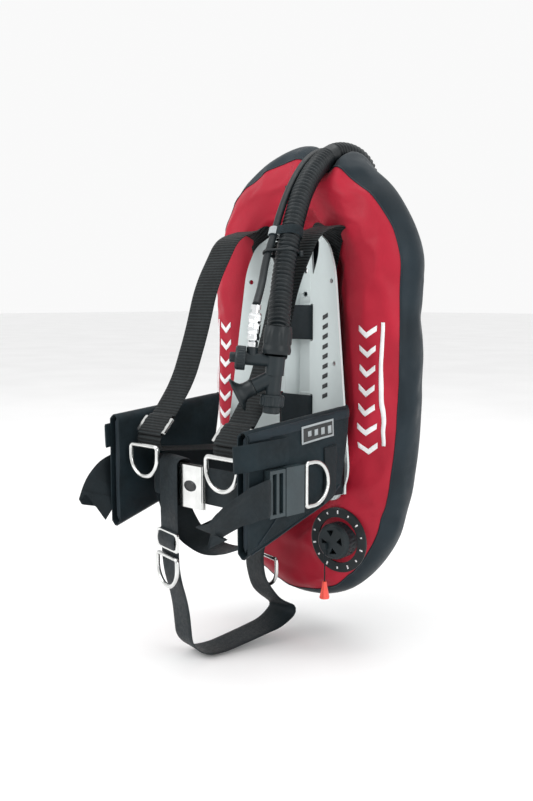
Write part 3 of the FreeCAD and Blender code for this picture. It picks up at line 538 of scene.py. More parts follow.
TOP_CENTRE = 0.137
SIDE_LOW = -0.020
LOBE_OFFSET = 0.122
SIDE_ARC = 0.700
BOTTOM_RADIUS = 0.1031
SECTION = {
    "inner_front": (-0.072, 0.0026),
    "hollow": (-0.061, 0.0006),
    "slope": (-0.048, -0.009),
    "front": (0.008, -0.037),
    "seam": (0.054, -0.014),
    "side": (0.063, 0.018),
    "shoulder": (0.050, 0.050),
    "rear": (0.004, 0.072),
    "inner_rear": (-0.072, 0.0055),
}
VALVE_AT = Vector((0.098, -0.0375, -0.245))
VALVE_OUT = Vector((0.1, -0.995, 0)).normalized()


def path_place(travel):
    """A place on the wing's middle line: its X and Z and the outward angle, by distance down from the top."""
    quarter = math.pi / 2 * LOBE_OFFSET
    straight = TOP_CENTRE - SIDE_LOW
    drop = math.sqrt((SIDE_ARC + LOBE_OFFSET - BOTTOM_RADIUS) ** 2 - SIDE_ARC ** 2)
    lean = math.atan2(drop, SIDE_ARC)
    if travel < quarter:
        angle = math.pi / 2 - travel / LOBE_OFFSET
        return math.cos(angle) * LOBE_OFFSET, TOP_CENTRE + math.sin(angle) * LOBE_OFFSET, angle
    travel -= quarter
    if travel < straight:
        return LOBE_OFFSET, TOP_CENTRE - travel, 0.0
    travel -= straight
    reach = SIDE_ARC + LOBE_OFFSET
    if travel < lean * reach:
        angle = -travel / reach
        return math.cos(angle) * reach - SIDE_ARC, SIDE_LOW + math.sin(angle) * reach, angle
    angle = -lean - (travel - lean * reach) / BOTTOM_RADIUS
    return math.cos(angle) * BOTTOM_RADIUS, SIDE_LOW - drop + math.sin(angle) * BOTTOM_RADIUS, angle


def half_length():
    """Length of the wing's middle line from its top to its bottom."""
    drop = math.sqrt((SIDE_ARC + LOBE_OFFSET - BOTTOM_RADIUS) ** 2 - SIDE_ARC ** 2)
    lean = math.atan2(drop, SIDE_ARC)
    bends = math.pi / 2 * LOBE_OFFSET + lean * (SIDE_ARC + LOBE_OFFSET) + (math.pi / 2 - lean) * BOTTOM_RADIUS
    return bends + TOP_CENTRE - SIDE_LOW


def arc_points(a, b, c, count):
    """Points on the arc through three places of a plane, without the last."""
    ax, ay, bx, by, cx, cy = *a, *b, *c
    scale = 2 * (ax * (by - cy) + bx * (cy - ay) + cx * (ay - by))
    sa, sb, sc = ax * ax + ay * ay, bx * bx + by * by, cx * cx + cy * cy
    ox = (sa * (by - cy) + sb * (cy - ay) + sc * (ay - by)) / scale
    oy = (sa * (cx - bx) + sb * (ax - cx) + sc * (bx - ax)) / scale
    start = math.atan2(ay - oy, ax - ox)
    middle = (math.atan2(by - oy, bx - ox) - start) % (2 * math.pi)
    turn = (math.atan2(cy - oy, cx - ox) - start) % (2 * math.pi)
    if middle > turn:
        turn -= 2 * math.pi
    radius = math.hypot(ax - ox, ay - oy)
    angles = [start + turn * i / count for i in range(count)]
    return [Vector((ox + radius * math.cos(t), oy + radius * math.sin(t), 0)) for t in angles]


def lobe_line():
    """The lobe's section as one line from its inner front edge round to its inner rear edge."""
    names = list(SECTION)
    line = []
    for i in range(0, len(names) - 2, 2):
        line += arc_points(*[SECTION[name] for name in names[i:i + 3]], 24)
    return line + [Vector((*SECTION["inner_rear"], 0))]


def cut_line(line, share_from, share_to, count):
    """Evenly spaced points on a stretch of a line, by shares of its length."""
    lengths = [0.0]
    for a, b in zip(line, line[1:]):
        lengths.append(lengths[-1] + (b - a).length)
    found, at = [], 0
    for i in range(count + 1):
        target = lengths[-1] * (share_from + (share_to - share_from) * i / count)
        while at < len(line) - 2 and lengths[at + 1] < target:
            at += 1
        found.append(line[at].lerp(line[at + 1], (target - lengths[at]) / (lengths[at + 1] - lengths[at])))
    return found


FRONT_STEPS = 26
REAR_STEPS = 34
ROUND_STEPS = 212
SEAM_SHARE = 0.392


def seam_share(angle):
    """Where the red panel ends along the section: lower on the front at the top of the wing."""
    top = max(0.0, math.sin(angle))
    low = max(0.0, -math.sin(angle))
    return SEAM_SHARE - 0.055 * top ** 2 - 0.01 * low


def wing_grid():
    """Points of the whole wing, ring by ring round its middle line, and each one's place on the cloth."""
    line = lobe_line()
    length = half_length()
    rings, marks = [], []
    for i in range(ROUND_STEPS):
        travel = 2 * length * i / ROUND_STEPS
        side = 1 if travel <= length else -1
        x, z, angle = path_place(travel if side > 0 else 2 * length - travel)
        share = seam_share(angle)
        section = cut_line(line, 0, share, FRONT_STEPS) + cut_line(line, share, 1, REAR_STEPS)[1:]
        ring = []
        for j, spot in enumerate(section):
            out = spot.x + ripple(travel, j)
            ring.append(slumped(Vector((side * (x + math.cos(angle) * out), spot.y,
                                        z + math.sin(angle) * out))))
        rings.append(ring)
        marks.append([(travel, 0.006 * j) for j in range(len(section))])
    return rings, marks


def slumped(spot):
    """The upper left shoulder of the lobe is a little lower and thinner than the rest."""
    share = eased_share((spot.z - 0.13) / 0.11) * eased_share((spot.x - 0.06) / 0.06)
    thinner = 0.25 * max(0, spot.y - 0.01)
    return spot - Vector((0, thinner, 0.010)) * share


def eased_share(share):
    share = max(0.0, min(1.0, share))
    return share * share * (3 - 2 * share)


def ripple(travel, j):
    """Slow unevenness of the lobe's outline, which dies away towards its inner edge."""
    share = math.sin(math.pi * min(1, j / (FRONT_STEPS + REAR_STEPS)))
    around = travel / half_length() * math.pi
    spot = Vector((math.cos(around) * 2.2, math.sin(around) * 2.2, 0.3))
    return share * 0.004 * noise.noise(spot)


def pucker(rings):
    """Small folds that run away from the seams, and soft dents between them."""
    count = len(rings)
    moved = []
    for i, ring in enumerate(rings):
        travel = i / count * 2 * half_length()
        new = []
        for j, spot in enumerate(ring):
            before, after = ring[max(j - 1, 0)], ring[min(j + 1, len(ring) - 1)]
            onward = rings[(i + 1) % count][j] - rings[i - 1][j]
            normal = (after - before).cross(onward).normalized()
            if normal.dot(spot - lobe_middle(i, count)) < 0:
                normal = -normal
            seam = abs(j - FRONT_STEPS) * 0.006
            edge = min(j, len(ring) - 1 - j) * 0.006
            fold = 0.5 + 0.5 * noise.noise(Vector((travel * 62, 3.1, j * 0.02)))
            depth = 0.0032 * fold * (math.exp(-seam / 0.016) + 0.6 * math.exp(-edge / 0.02))
            swell = 0.0028 * noise.noise(Vector((travel * 11, j * 0.11, 7.7)))
            swell += 0.0011 * noise.noise(Vector((travel * 30, j * 0.3, 1.7)))
            calm = min(1, edge / 0.03)
            new.append(spot + normal * (swell * calm - depth * min(1, edge / 0.012 + 0.3)))
        moved.append(new)
    return moved


def lobe_middle(i, count):
    """The middle of the lobe at a ring, from which its surface faces away."""
    travel = 2 * half_length() * i / count
    side = 1 if travel <= half_length() else -1
    x, z, _ = path_place(travel if side > 0 else 2 * half_length() - travel)
    return Vector((side * x, 0.015, z))


def pressed(rings, line, radius, soft):
    """Push the wing's surface inwards, out of the way of a hose that lies on it."""
    tree = KDTree(len(line))
    for k, p in enumerate(line):
        tree.insert(p, k)
    tree.balance()
    count = len(rings)
    for i, ring in enumerate(rings):
        middle = lobe_middle(i, count)
        for j, spot in enumerate(ring):
            _, _, gap = tree.find(spot)
            if gap > radius + soft:
                continue
            inward = (middle - spot).normalized()
            moved, steps = spot.copy(), 0
            while tree.find(moved)[2] < radius + soft * 0.12 and steps < 80:
                moved += inward * 0.0008
                steps += 1
            near = max(0, 1 - max(0, gap - radius) / soft)
            ring[j] = moved + inward * 0.003 * near * (1 if steps == 0 else 0.3)
    return rings


def smoothed(rings, rounds, chosen):
    """Relax the chosen points towards their neighbours."""
    count = len(rings)
    for _ in range(rounds):
        old = [[p.copy() for p in ring] for ring in rings]
        for i, j in chosen:
            if 0 < j < len(rings[0]) - 1:
                around = old[i - 1][j] + old[(i + 1) % count][j] + old[i][j - 1] + old[i][j + 1]
                rings[i][j] = old[i][j] * 0.4 + around * 0.15
    return rings


def near_lines(rings, lines, reach):
    chosen = []
    for i, ring in enumerate(rings):
        for j, spot in enumerate(ring):
            if any(tree.find(spot)[2] < reach for tree in lines):
                chosen.append((i, j))
    return chosen


def tree_of(points):
    tree = KDTree(len(points))
    for k, p in enumerate(points):
        tree.insert(p, k)
    tree.balance()
    return tree


def inflated(rings, free):
    """Let air pressure settle the cloth for a moment, held where it meets other pieces."""
    points = [p for ring in rings for p in ring]
    wide, count = len(rings[0]), len(rings)
    faces = []
    for i in range(count):
        for j in range(wide - 1):
            after = (i + 1) % count
            faces.append((i * wide + j, i * wide + j + 1, after * wide + j + 1, after * wide + j))
    piece = mesh_object("wing_cloth", points, faces)
    held = piece.vertex_groups.new(name="held")
    for k, weight in enumerate(free):
        held.add([k], 1 - weight, "REPLACE")
    cloth = add_modifier(piece, "CLOTH")
    cloth.settings.use_pressure = True
    cloth.settings.uniform_pressure_force = 1.6
    cloth.settings.effector_weights.gravity = 0
    cloth.settings.vertex_group_mass = "held"
    cloth.settings.tension_stiffness = 12
    cloth.settings.compression_stiffness = 12
    cloth.settings.bending_stiffness = 0.3
    cloth.settings.shrink_min = -0.012
    cloth.point_cache.frame_start, cloth.point_cache.frame_end = 1, 14
    scene = bpy.context.scene
    for step in range(1, 15):
        scene.frame_set(step)
    mesh = bpy.data.meshes.new_from_object(piece.evaluated_get(bpy.context.evaluated_depsgraph_get()))
    limit = 0.004
    for k, (spot, vertex) in enumerate(zip(points, mesh.vertices)):
        shift = (vertex.co - spot) * free[k]
        if shift.length > limit:
            shift *= limit / shift.length
        spot += shift
    bpy.data.objects.remove(piece)
    bpy.data.meshes.remove(mesh)
    scene.frame_set(1)
    return [points[i * wide:(i + 1) * wide] for i in range(count)]


def cloth_strip(name, rings, marks, first, last, look, nodes):
    """One panel of the wing: the rings' points from first to last, subdivided once."""
    points = [p for ring in rings for p in ring[first:last + 1]]
    flat = [m for ring in marks for m in ring[first:last + 1]]
    wide, count = last - first + 1, len(rings)
    faces = []
    for i in range(count):
        after = (i + 1) % count
        for j in range(wide - 1):
            faces.append((i * wide + j, after * wide + j, after * wide + j + 1, i * wide + j + 1))
    piece = mesh_object(name, points, faces, flat)
    add_modifier(piece, "SUBSURF", levels=1, render_levels=1)
    finish_piece(piece, look, sharp=60)
    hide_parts(*nodes)
    return piece


def add_wing():
    """The inflated wing: red front panel, black rear panel, dented by both hoses and the valve."""
    hose, thin = line_of(HOSE_ROUTE), line_of(LP_HOSE_ROUTE)
    rings, marks = wing_grid()
    rings = pucker(rings)
    hoses = [tree_of(hose), tree_of(thin)]
    rings = pressed(rings, hose, HOSE_RADIUS + 0.0015, 0.016)
    rings = pressed(rings, thin, 0.0062, 0.008)
    rings = smoothed(rings, 2, near_lines(rings, hoses, 0.032))
    valve = tree_of([VALVE_AT])
    free = []
    for ring in rings:
        for j, spot in enumerate(ring):
            edge = min(j, len(ring) - 1 - j) / 6
            gap = min(hoses[0].find(spot)[2] - 0.02, hoses[1].find(spot)[2] - 0.01) / 0.02
            bolted = (valve.find(spot)[2] - 0.03) / 0.03
            free.append(max(0.0, min(1.0, edge, gap, bolted)))
    rings = inflated(rings, free)
    rings = pressed(rings, hose, HOSE_RADIUS + 0.001, 0.004)
    rings = pressed(rings, thin, 0.0058, 0.003)
    rings = flattened_at_valve(rings)
    front = cloth_strip("wing_front", rings, marks, 0, FRONT_STEPS, "red_nylon", ["wing_front_panel"])
    rear = cloth_strip("wing_rear", rings, marks, FRONT_STEPS, len(rings[0]) - 1, "black_nylon",
                       ["wing_rear_panel", "wing_bladder"])
    add_seam_cord(rings)
    return front, rear


def flattened_at_valve(rings):
    """Draw the cloth in round the dump valve, where the ring clamps it."""
    for ring in rings:
        for j, spot in enumerate(ring):
            rise = (spot - VALVE_AT).dot(VALVE_OUT)
            away = ((spot - VALVE_AT) - VALVE_OUT * rise).length
            if rise > -0.02 and away < 0.034:
                ring[j] = spot - VALVE_OUT * max(0, rise + 0.001)
    return rings


def add_seam_cord(rings):
    """Narrow bound edge along the outer seam, where the red panel meets the black one."""
    count = len(rings)
    shape = []
    for i in range(count):
        at = rings[i][FRONT_STEPS]
        away = (at - lobe_middle(i, count)).normalized()
        onward = (rings[(i + 1) % count][FRONT_STEPS] - rings[i - 1][FRONT_STEPS]).normalized()
        side = onward.cross(away)
        turns = [2 * math.pi * k / 8 for k in range(8)]
        shape.append([at + away * (0.0002 + 0.0011 * math.cos(t)) + side * 0.0015 * math.sin(t)
                      for t in turns])
    marks = [(i * 0.006, k * 0.001) for i in range(count) for k in range(8)]
    seam = skinned("wing_seam_binding", shape, closed=True, marks=marks)
    finish_piece(seam, "black_nylon")


def surface_tree(pieces):
    """Something to cast rays at, from the final form of several pieces."""
    graph = bpy.context.evaluated_depsgraph_get()
    points, faces = [], []
    for piece in pieces:
        mesh = piece.evaluated_get(graph).to_mesh()
        offset = len(points)
        points += [piece.matrix_world @ v.co for v in mesh.vertices]
        faces += [[offset + k for k in face.vertices] for face in mesh.polygons]
    return BVHTree.FromPolygons(points, faces)


# a way of looking at the object: what runs across it, what runs up it and what points out of it
FRONT_VIEW = (X_AXIS, Z_AXIS, -Y_AXIS)
SIDE_VIEWS = {"left": (Y_AXIS, Z_AXIS, X_AXIS), "right": (Y_AXIS, Z_AXIS, -X_AXIS)}


def draped(name, outline, target, look, view=FRONT_VIEW, lift=0.0004, thick=0.0005, pitch=0.003,
           body="root"):
    """A thin flat shape, given across and up a view, laid on whatever it meets there."""
    across, up, out = view
    form = bmesh.new()
    form.faces.new([form.verts.new((u, v, 0)) for u, v in outline])
    for axis in (0, 1):
        low = min(v.co[axis] for v in form.verts)
        high = max(v.co[axis] for v in form.verts)
        for k in range(1, int((high - low) / pitch) + 1):
            at, normal = Vector(), Vector()
            at[axis], normal[axis] = low + k * pitch, 1
            bmesh.ops.bisect_plane(form, geom=whole(form), plane_co=at, plane_no=normal)
    marks = [(v.co.x, v.co.y) for v in form.verts]
    for vertex in form.verts:
        vertex.co = on_surface(vertex.co.x, vertex.co.y, target, view, lift)
    form.verts.index_update()
    points = [v.co.copy() for v in form.verts]
    faces = [[v.index for v in face.verts] for face in form.faces]
    form.free()
    piece = mesh_object(name, points, faces, marks)
    add_modifier(piece, "SOLIDIFY", thickness=thick, offset=0)
    return finish_piece(piece, look, body, 60)


def on_surface(u, v, target, view, lift):
    """The place of a view where a ray from outside meets the target, lifted off it a little."""
    across, up, out = view
    start = across * u + up * v + out * 0.5
    hit, normal, _, _ = target.ray_cast(start, -out)
    if hit is None:
        return across * u + up * v
    return hit + (normal if normal.dot(out) > 0 else -normal) * lift


def piping(name, points, target, view, radius, look, body="root", lift=0.0003):
    """A thin cord sewn along a line of a view."""
    line = spaced(rounded([(u, v, 0) for u, v in points]), 0.003)
    path = [on_surface(p.x, p.y, target, view, lift) for p in line]
    rings, marks = [], []
    for i, (at, direction) in enumerate(zip(path, tangents(path))):
        side = direction.cross(view[2]).normalized()
        turns = [2 * math.pi * k / 8 for k in range(8)]
        rings.append([at + (side * math.cos(t) + view[2] * math.sin(t)) * radius for t in turns])
        marks += [(i * 0.003, k * 0.001) for k in range(8)]
    return finish_piece(skinned(name, rings, marks=marks), look, body)


def stitches(name, rows, target, view, body="root", look="thread", pitch=0.0036):
    """Rows of sewing thread: a short raised stitch, a gap, and so on along each line of a view."""
    points, faces = [], []
    for row in rows:
        line = spaced(rounded([(u, v, 0) for u, v in row]), pitch)
        for a, b in zip(line, line[1:]):
            ends = [on_surface(p.x, p.y, target, view, 0.0002) for p in (a, a.lerp(b, 0.62))]
            onward = ends[1] - ends[0]
            side = onward.cross(view[2]).normalized() * 0.00032
            rise = view[2] * 0.0004
            first = len(points)
            middle = (ends[0] + ends[1]) / 2
            points += [ends[0], middle + side, ends[1], middle - side, middle + rise, middle - rise]
            for i, j in ((0, 1), (1, 2), (2, 3), (3, 0)):
                faces += [(first + i, first + j, first + 4), (first + j, first + i, first + 5)]
    return finish_piece(mesh_object(name, points, faces), look, body, 80)


def add_wing_marks(front):
    """Plain printed chevrons down both lobes, and the small shield patch on the collar."""
    target = surface_tree([front])
    for side, sign in SIDES.items():
        for k in range(7):
            z, x, half, tall = 0.062 - k * 0.027, sign * 0.1415, 0.0125, 0.010
            shape = [(x - half, z), (x, z - tall), (x + half, z), (x + half, z - 0.008),
                     (x, z - tall - 0.008), (x - half, z - 0.008)]
            draped(f"wing_chevron_{side}_{k}", shape, target, "white_print")
        edge = sign * 0.161
        bar = [(edge - 0.0022, 0.066), (edge + 0.0022, 0.066), (edge + 0.0022, -0.105),
               (edge - 0.0022, -0.105)]
        draped(f"wing_bar_{side}", bar, target, "white_print")
    shield = [(-0.012, 0.262), (0.016, 0.262), (0.016, 0.246), (0.009, 0.234), (0.002, 0.229),
              (-0.005, 0.234), (-0.012, 0.246)]
    draped("collar_patch", shield, target, "black_print")
    inner = [(0.002 + (x - 0.002) * 0.78, 0.247 + (z - 0.247) * 0.78) for x, z in shield]
    draped("collar_patch_face", inner, target, "grey_print", lift=0.0009)


# ---------------------------------------------------------------- backplate and the panel behind it

BEND_FLOOR = 0.012
BEND_SIDE = 0.025
CHANNEL_DEPTH = 0.018
SIDE_SLOPE = math.tan(math.radians(17))


def circle_line(x, z, radius, count=24):
    turns = [2 * math.pi * k / count for k in range(count)]
    return [(x + radius * math.cos(t), z + radius * math.sin(t)) for t in turns]


def soft_outline(points, reaches=0.006):
    """A closed flat outline with rounded corners."""
    return [(p.x, p.y) for p in rounded([(x, z, 0) for x, z in points], reaches, closed=True, steps=6)]


def mirrored(points):
    return [(-x, z) for x, z in reversed(points)]


def flat_sheet(name, outlines, folds, depth_at, thickness, look, bevel):
    """A sheet with holes, given in X and Z, whose Y follows its X."""
    curve = bpy.data.curves.new(name, "CURVE")
    curve.dimensions = "2D"
    curve.fill_mode = "FRONT"
    for outline in outlines:
        spline = curve.splines.new("POLY")
        spline.points.add(len(outline) - 1)
        for point, (x, z) in zip(spline.points, outline):
            point.co = (x, z, 0, 1)
        spline.use_cyclic_u = True
    guide = link(name + "_guide", curve)
    form = bmesh.new()
    form.from_mesh(bpy.data.meshes.new_from_object(guide))
    bpy.data.objects.remove(guide)
    bmesh.ops.remove_doubles(form, verts=form.verts, dist=0.00001)
    for x in folds:
        bmesh.ops.bisect_plane(form, geom=whole(form), plane_co=(x, 0, 0), plane_no=(1, 0, 0))
    bmesh.ops.dissolve_limit(form, angle_limit=0.01, verts=form.verts, edges=[], delimit=set())
    for x in folds:
        bmesh.ops.bisect_plane(form, geom=whole(form), plane_co=(x, 0, 0), plane_no=(1, 0, 0))
    form.verts.index_update()
    flat = [(v.co.x, v.co.y) for v in form.verts]
    faces = [[v.index for v in face.verts] for face in form.faces]
    form.free()
    piece = mesh_object(name, [(x, depth_at(x, z), z) for x, z in flat], faces, flat)
    add_modifier(piece, "SOLIDIFY", thickness=thickness, offset=0)
    add_modifier(piece, "BEVEL", width=bevel, segments=3, limit_method="ANGLE", angle_limit=math.radians(60))
    add_modifier(piece, "WEIGHTED_NORMAL", weight=100)
    return finish_piece(piece, look, sharp=80)


def plate_depth(x, z):
    """Where the middle of the folded plate lies: channel floor, steep walls, then the two side wings."""
    away = abs(x)
    wall = CHANNEL_DEPTH / (BEND_SIDE - BEND_FLOOR)
    floor = -0.0015
    steep = floor - (away - BEND_FLOOR) * wall
    side = floor - CHANNEL_DEPTH - (away - BEND_SIDE) * SIDE_SLOPE
    return min(floor, max(steep, side)) if away < BEND_SIDE else side


def add_backplate():
    """Folded and drilled aluminium plate with its printed dashes."""
    side = [(0.042, 0.195), (0.072, 0.176), (0.088, 0.140), (0.125, -0.150), (0.095, -0.190)]
    outlines = [soft_outline(side + mirrored(side), [0.009, 0.012, 0.03, 0.022, 0.016, 0.016, 0.022, 0.03,
                                                     0.012, 0.009])]
    for sign in (1, -1):
        drop = [(0.027, 0.183), (0.049, 0.183), (0.047, 0.160), (0.033, 0.131)]
        drop = [(sign * x, z) for x, z in drop]
        outlines.append(soft_outline(drop, [0.008, 0.008, 0.012, 0.006]))
        for middle in (0.064, -0.068):
            outlines.append(slot_outline(sign * 0.0305, middle, 0.006, 0.054))
        outlines.append(slot_outline(sign * 0.111, -0.150, 0.009, 0.054))
        outlines += [circle_line(sign * 0.080, 0.123, 0.0035), circle_line(sign * 0.088, 0.007, 0.0035)]
    outlines.append(slot_outline(0, -0.177, 0.054, 0.008))
    for z, radius in ((0.1397, 0.0045), (-0.1397, 0.0045), (0.105, 0.004), (-0.105, 0.004)):
        outlines.append(circle_line(0, z, radius))
    folds = [sign * (bend + k * 0.001) for sign in (1, -1) for bend in (BEND_FLOOR, BEND_SIDE)
             for k in (-1, 0, 1)]
    plate = flat_sheet("backplate_sheet", outlines, folds, plate_depth, 0.003, "plate_metal", 0.0007)
    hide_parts("backplate")
    target = surface_tree([plate])
    for k in range(9):
        x, z = 0.059, 0.074 - k * 0.0142
        dash = [(x, z), (x + 0.0125, z + 0.0045), (x + 0.0125, z - 0.0015), (x, z - 0.006)]
        draped(f"plate_dash_{k}", dash, target, "black_print", lift=0.0003)
    return plate


def slot_outline(x, z, width, height):
    half, tall = width / 2, height / 2
    corners = [(x - half, z - tall), (x + half, z - tall), (x + half, z + tall), (x - half, z + tall)]
    return soft_outline(corners, 0.0024)


def add_centre_panel():
    """The cloth panel between the lobes, behind the plate, with its tank band slots."""
    half, top = 0.0495, 0.137
    arc = [(half * math.cos(a), top + half * math.sin(a)) for a in [math.pi * k / 16 for k in range(17)]]
    narrowing = [(0, -0.020), (0.0015, -0.060), (0.0105, -0.145), (0.020, -0.193), (0.028, -0.204),
                 (0.040, -0.2125)]
    left = [(taken - half, z) for taken, z in narrowing]
    outlines = [arc + left + mirrored(left)]
    for sign in (1, -1):
        for middle in (0.064, -0.068):
            outlines.append(slot_outline(sign * 0.0355, middle, 0.007, 0.054))
    outlines += [circle_line(0, 0.1397, 0.0045), circle_line(0, -0.1397, 0.0045)]
    folds = [k * 0.008 for k in range(-6, 7)]
    panel = flat_sheet("wing_centre_cloth", outlines, folds, panel_depth, 0.0036, "black_nylon",
                       0.0008)
    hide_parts("wing_centre_panel")


def panel_depth(x, z):
    return 0.0026 + 0.0009 * noise.noise(Vector((x * 40, 2.7, z * 40)))


# ---------------------------------------------------------------- harness

SHOULDER_RUN = [
    (-0.042, 0.1995),
    (-0.088, 0.187),
    (-0.132, 0.116),
    (-0.150, 0.053),
    (-0.178, -0.018),
    (-0.212, -0.062),
    (-0.243, -0.096),
    (-0.236, -0.110),
    (-0.150, -0.118),
    (-0.052, -0.124),
]
SHOULDER_X = 0.078
BELT_PLAN = [(0.099, -0.0392), (0.111, -0.0429), (0.111, -0.062), (0.114, -0.186), (0.092, -0.226),
             (0.001, -0.226)]
BELT_Z = -0.150
LOOSE_TAIL = [(-0.083, -0.176), (-0.070, -0.203), (-0.042, -0.232), (0.004, -0.246), (0.052, -0.240),
              (0.092, -0.212)]
CROTCH_REAR = Vector((0, -0.040, 0))
CROTCH_FORWARD = Vector((-0.2164, -0.9763, 0)).normalized()
CROTCH_RUN = [
    (0.178, -0.180),
    (0.178, -0.118),
    (0.2005, -0.118),
    (0.2005, -0.200),
    (0.198, -0.278),
    (0.184, -0.325),
    (0.178, -0.384),
    (0.156, -0.402),
    (0.126, -0.403),
    (0.077, -0.394),
    (0.030, -0.384),
    (0.004, -0.364),
    (0.042, -0.338),
    (0.060, -0.300),
    (0.058, -0.262),
    (0.030, -0.210),
    (0.009, -0.178),
]


def add_shoulder_straps():
    """Ribbed webbing from behind the plate, over its top, down the chest and back to its side."""
    for side, sign in SIDES.items():
        root = [(sign * 0.044, -0.012, 0.118), (sign * 0.056, -0.016, 0.156), (sign * 0.070, -0.026, 0.193)]
        run = root + [(sign * SHOULDER_X, y, z) for y, z in SHOULDER_RUN] + [(sign * 0.088, -0.0425, -0.128)]
        leaning = (0.90, -sign * 0.27, -sign * 0.34)
        turning, ending = (0.95, -sign * 0.2, -sign * 0.2), (0.97, -sign * 0.2, 0)
        across = [leaning, leaning, turning] + [(1, 0, 0)] * (len(run) - 4) + [ending]
        reaches = [None] * 7 + [0.008, 0.006, 0.006, 0.012, 0.008]
        strap = webbing(f"shoulder_webbing_{side}", run, across, WEBBING_WIDTH, "ribbed_webbing",
                        reaches=reaches, waves=0.0012)
        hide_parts(f"shoulder_strap_{side}")


def add_slider_loops():
    """The webbing that passes over the middle bar of each slider."""
    for side, sign in SIDES.items():
        x = sign * SHOULDER_X
        run = [(x, -0.2105, -0.0665), (x, -0.2175, -0.0665), (x, -0.2275, -0.0772), (x, -0.2375, -0.0880),
               (x, -0.2385, -0.0925)]
        run = [(a, y - 0.0024, z + 0.0026) for a, y, z in run]
        webbing(f"slider_loop_{side}", run, X_AXIS, 0.0485, "ribbed_webbing", reaches=0.003)
    run = [(0.2010, -0.2200), (0.2042, -0.2250), (0.2062, -0.2340), (0.2042, -0.2430), (0.2010, -0.2480)]
    run = [CROTCH_REAR + CROTCH_FORWARD * reach + Z_AXIS * z for reach, z in run]
    webbing("crotch_slider_loop", run, CROTCH_FORWARD.cross(Z_AXIS), 0.0485, "smooth_webbing", reaches=0.003)


def add_waist_straps():
    """Belt webbing through the plate's side slots, and the loose tail that hangs below the buckle."""
    for side, sign in SIDES.items():
        run = [(sign * x, y, BELT_Z) for x, y in BELT_PLAN]
        reaches = [0.0035, 0.006, 0.03, 0.022]
        strap = webbing(f"belt_webbing_{side}", run, Z_AXIS, WEBBING_WIDTH, "smooth_webbing",
                        reaches=reaches, waves=0.001)
        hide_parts(f"waist_strap_{side}")
    tail = [(x, -0.198, z) for x, z in LOOSE_TAIL]
    across = [(0.2, 1, 0)] * 2 + [(0, 1, 0.12)] * 2 + [(0, 1, 0.05)] * 2
    loose = webbing("belt_tail_webbing", tail, across, 0.048, "smooth_webbing", waves=0.003)
    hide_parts("waist_strap_right")


def add_crotch_strap():
    """Crotch webbing, looped over the belt in front and twisted where it rises behind."""
    sideways = CROTCH_FORWARD.cross(Z_AXIS)
    run = [CROTCH_REAR + CROTCH_FORWARD * reach + Z_AXIS * z for reach, z in CROTCH_RUN]
    across = [sideways] * 9
    for share in (0.12, 0.25, 0.35, 0.2, 0.0, -0.1, -0.05, 0.0):
        across.append(Matrix.Rotation(share, 3, "Z") @ sideways)
    reaches = [0.011, 0.011] + [None] * (len(run) - 4)
    strap = webbing("crotch_webbing", run, across, WEBBING_WIDTH, "smooth_webbing", reaches=reaches,
                    waves=0.0012)
    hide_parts("crotch_strap")


def add_tank_bands():
    """The two tank bands, overlapped behind their buckles."""
    half = [(0.001, 0.150), (0.054, 0.150), (0.066, 0.084), (0.041, 0.030), (0.0355, 0.004), (0.030, -0.0255)]
    plan = half + [(-x, y) for x, y in reversed(half)]
    for name, z in (("upper", 0.064), ("lower", -0.068)):
        run = [(x, y, z) for x, y in plan]
        reaches = [0.012, 0.02, 0.012, 0.006, 0.006]
        strap = webbing(f"tank_band_{name}", run, Z_AXIS, WEBBING_WIDTH, "smooth_webbing",
                        reaches=reaches + reaches[::-1])
        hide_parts(f"cam_band_{name}")


# ---------------------------------------------------------------- weight pockets

POCKET_TOP = [(-0.262, -0.064), (-0.062, -0.047)]
POCKET_BOTTOM = [(-0.262, -0.2238), (-0.256, -0.222), (-0.112, -0.178), (-0.084, -0.158), (-0.062, -0.047)]
POUCH_TOP = [(-0.258, -0.0695), (-0.069, -0.0535)]
POUCH_BOTTOM = [(-0.258, -0.2155), (-0.253, -0.214), (-0.113, -0.1715), (-0.090, -0.154), (-0.069, -0.0535)]
POCKET_X = 0.129


def height_at(line, y):
    """Z on a line of (y, z) places."""
    for (y0, z0), (y1, z1) in zip(line, line[1:]):
        if y <= y1:
            return z0 + (z1 - z0) * (y - y0) / (y1 - y0)
    return line[-1][1]


def slab_ring(x, y, top, bottom, half, crown, soft):
    """A section of a cushion: a tall rounded shape in X and Z whose faces bulge by the crown."""
    middle, tall = (top + bottom) / 2, max((top - bottom) / 2, 0.001)
    round_off = min(soft, tall * 0.98, half * 0.98)
    ring, steps = [], 26
    for side in (1, -1):
        for k in range(steps + 1):
            z = side * tall * (1 - 2 * k / steps)
            inside = min(1, (tall - abs(z)) / round_off)
            reach = half - round_off + round_off * math.sqrt(max(0, 1 - (1 - inside) ** 2))
            reach += crown * (1 - (z / tall) ** 2)
            wave = 0.0011 * noise.noise(Vector((y * 26, z * 26, side * 3.3 + x * 40))) * inside
            ring.append(Vector((x + side * (reach + wave), y, middle + z)))
    return ring


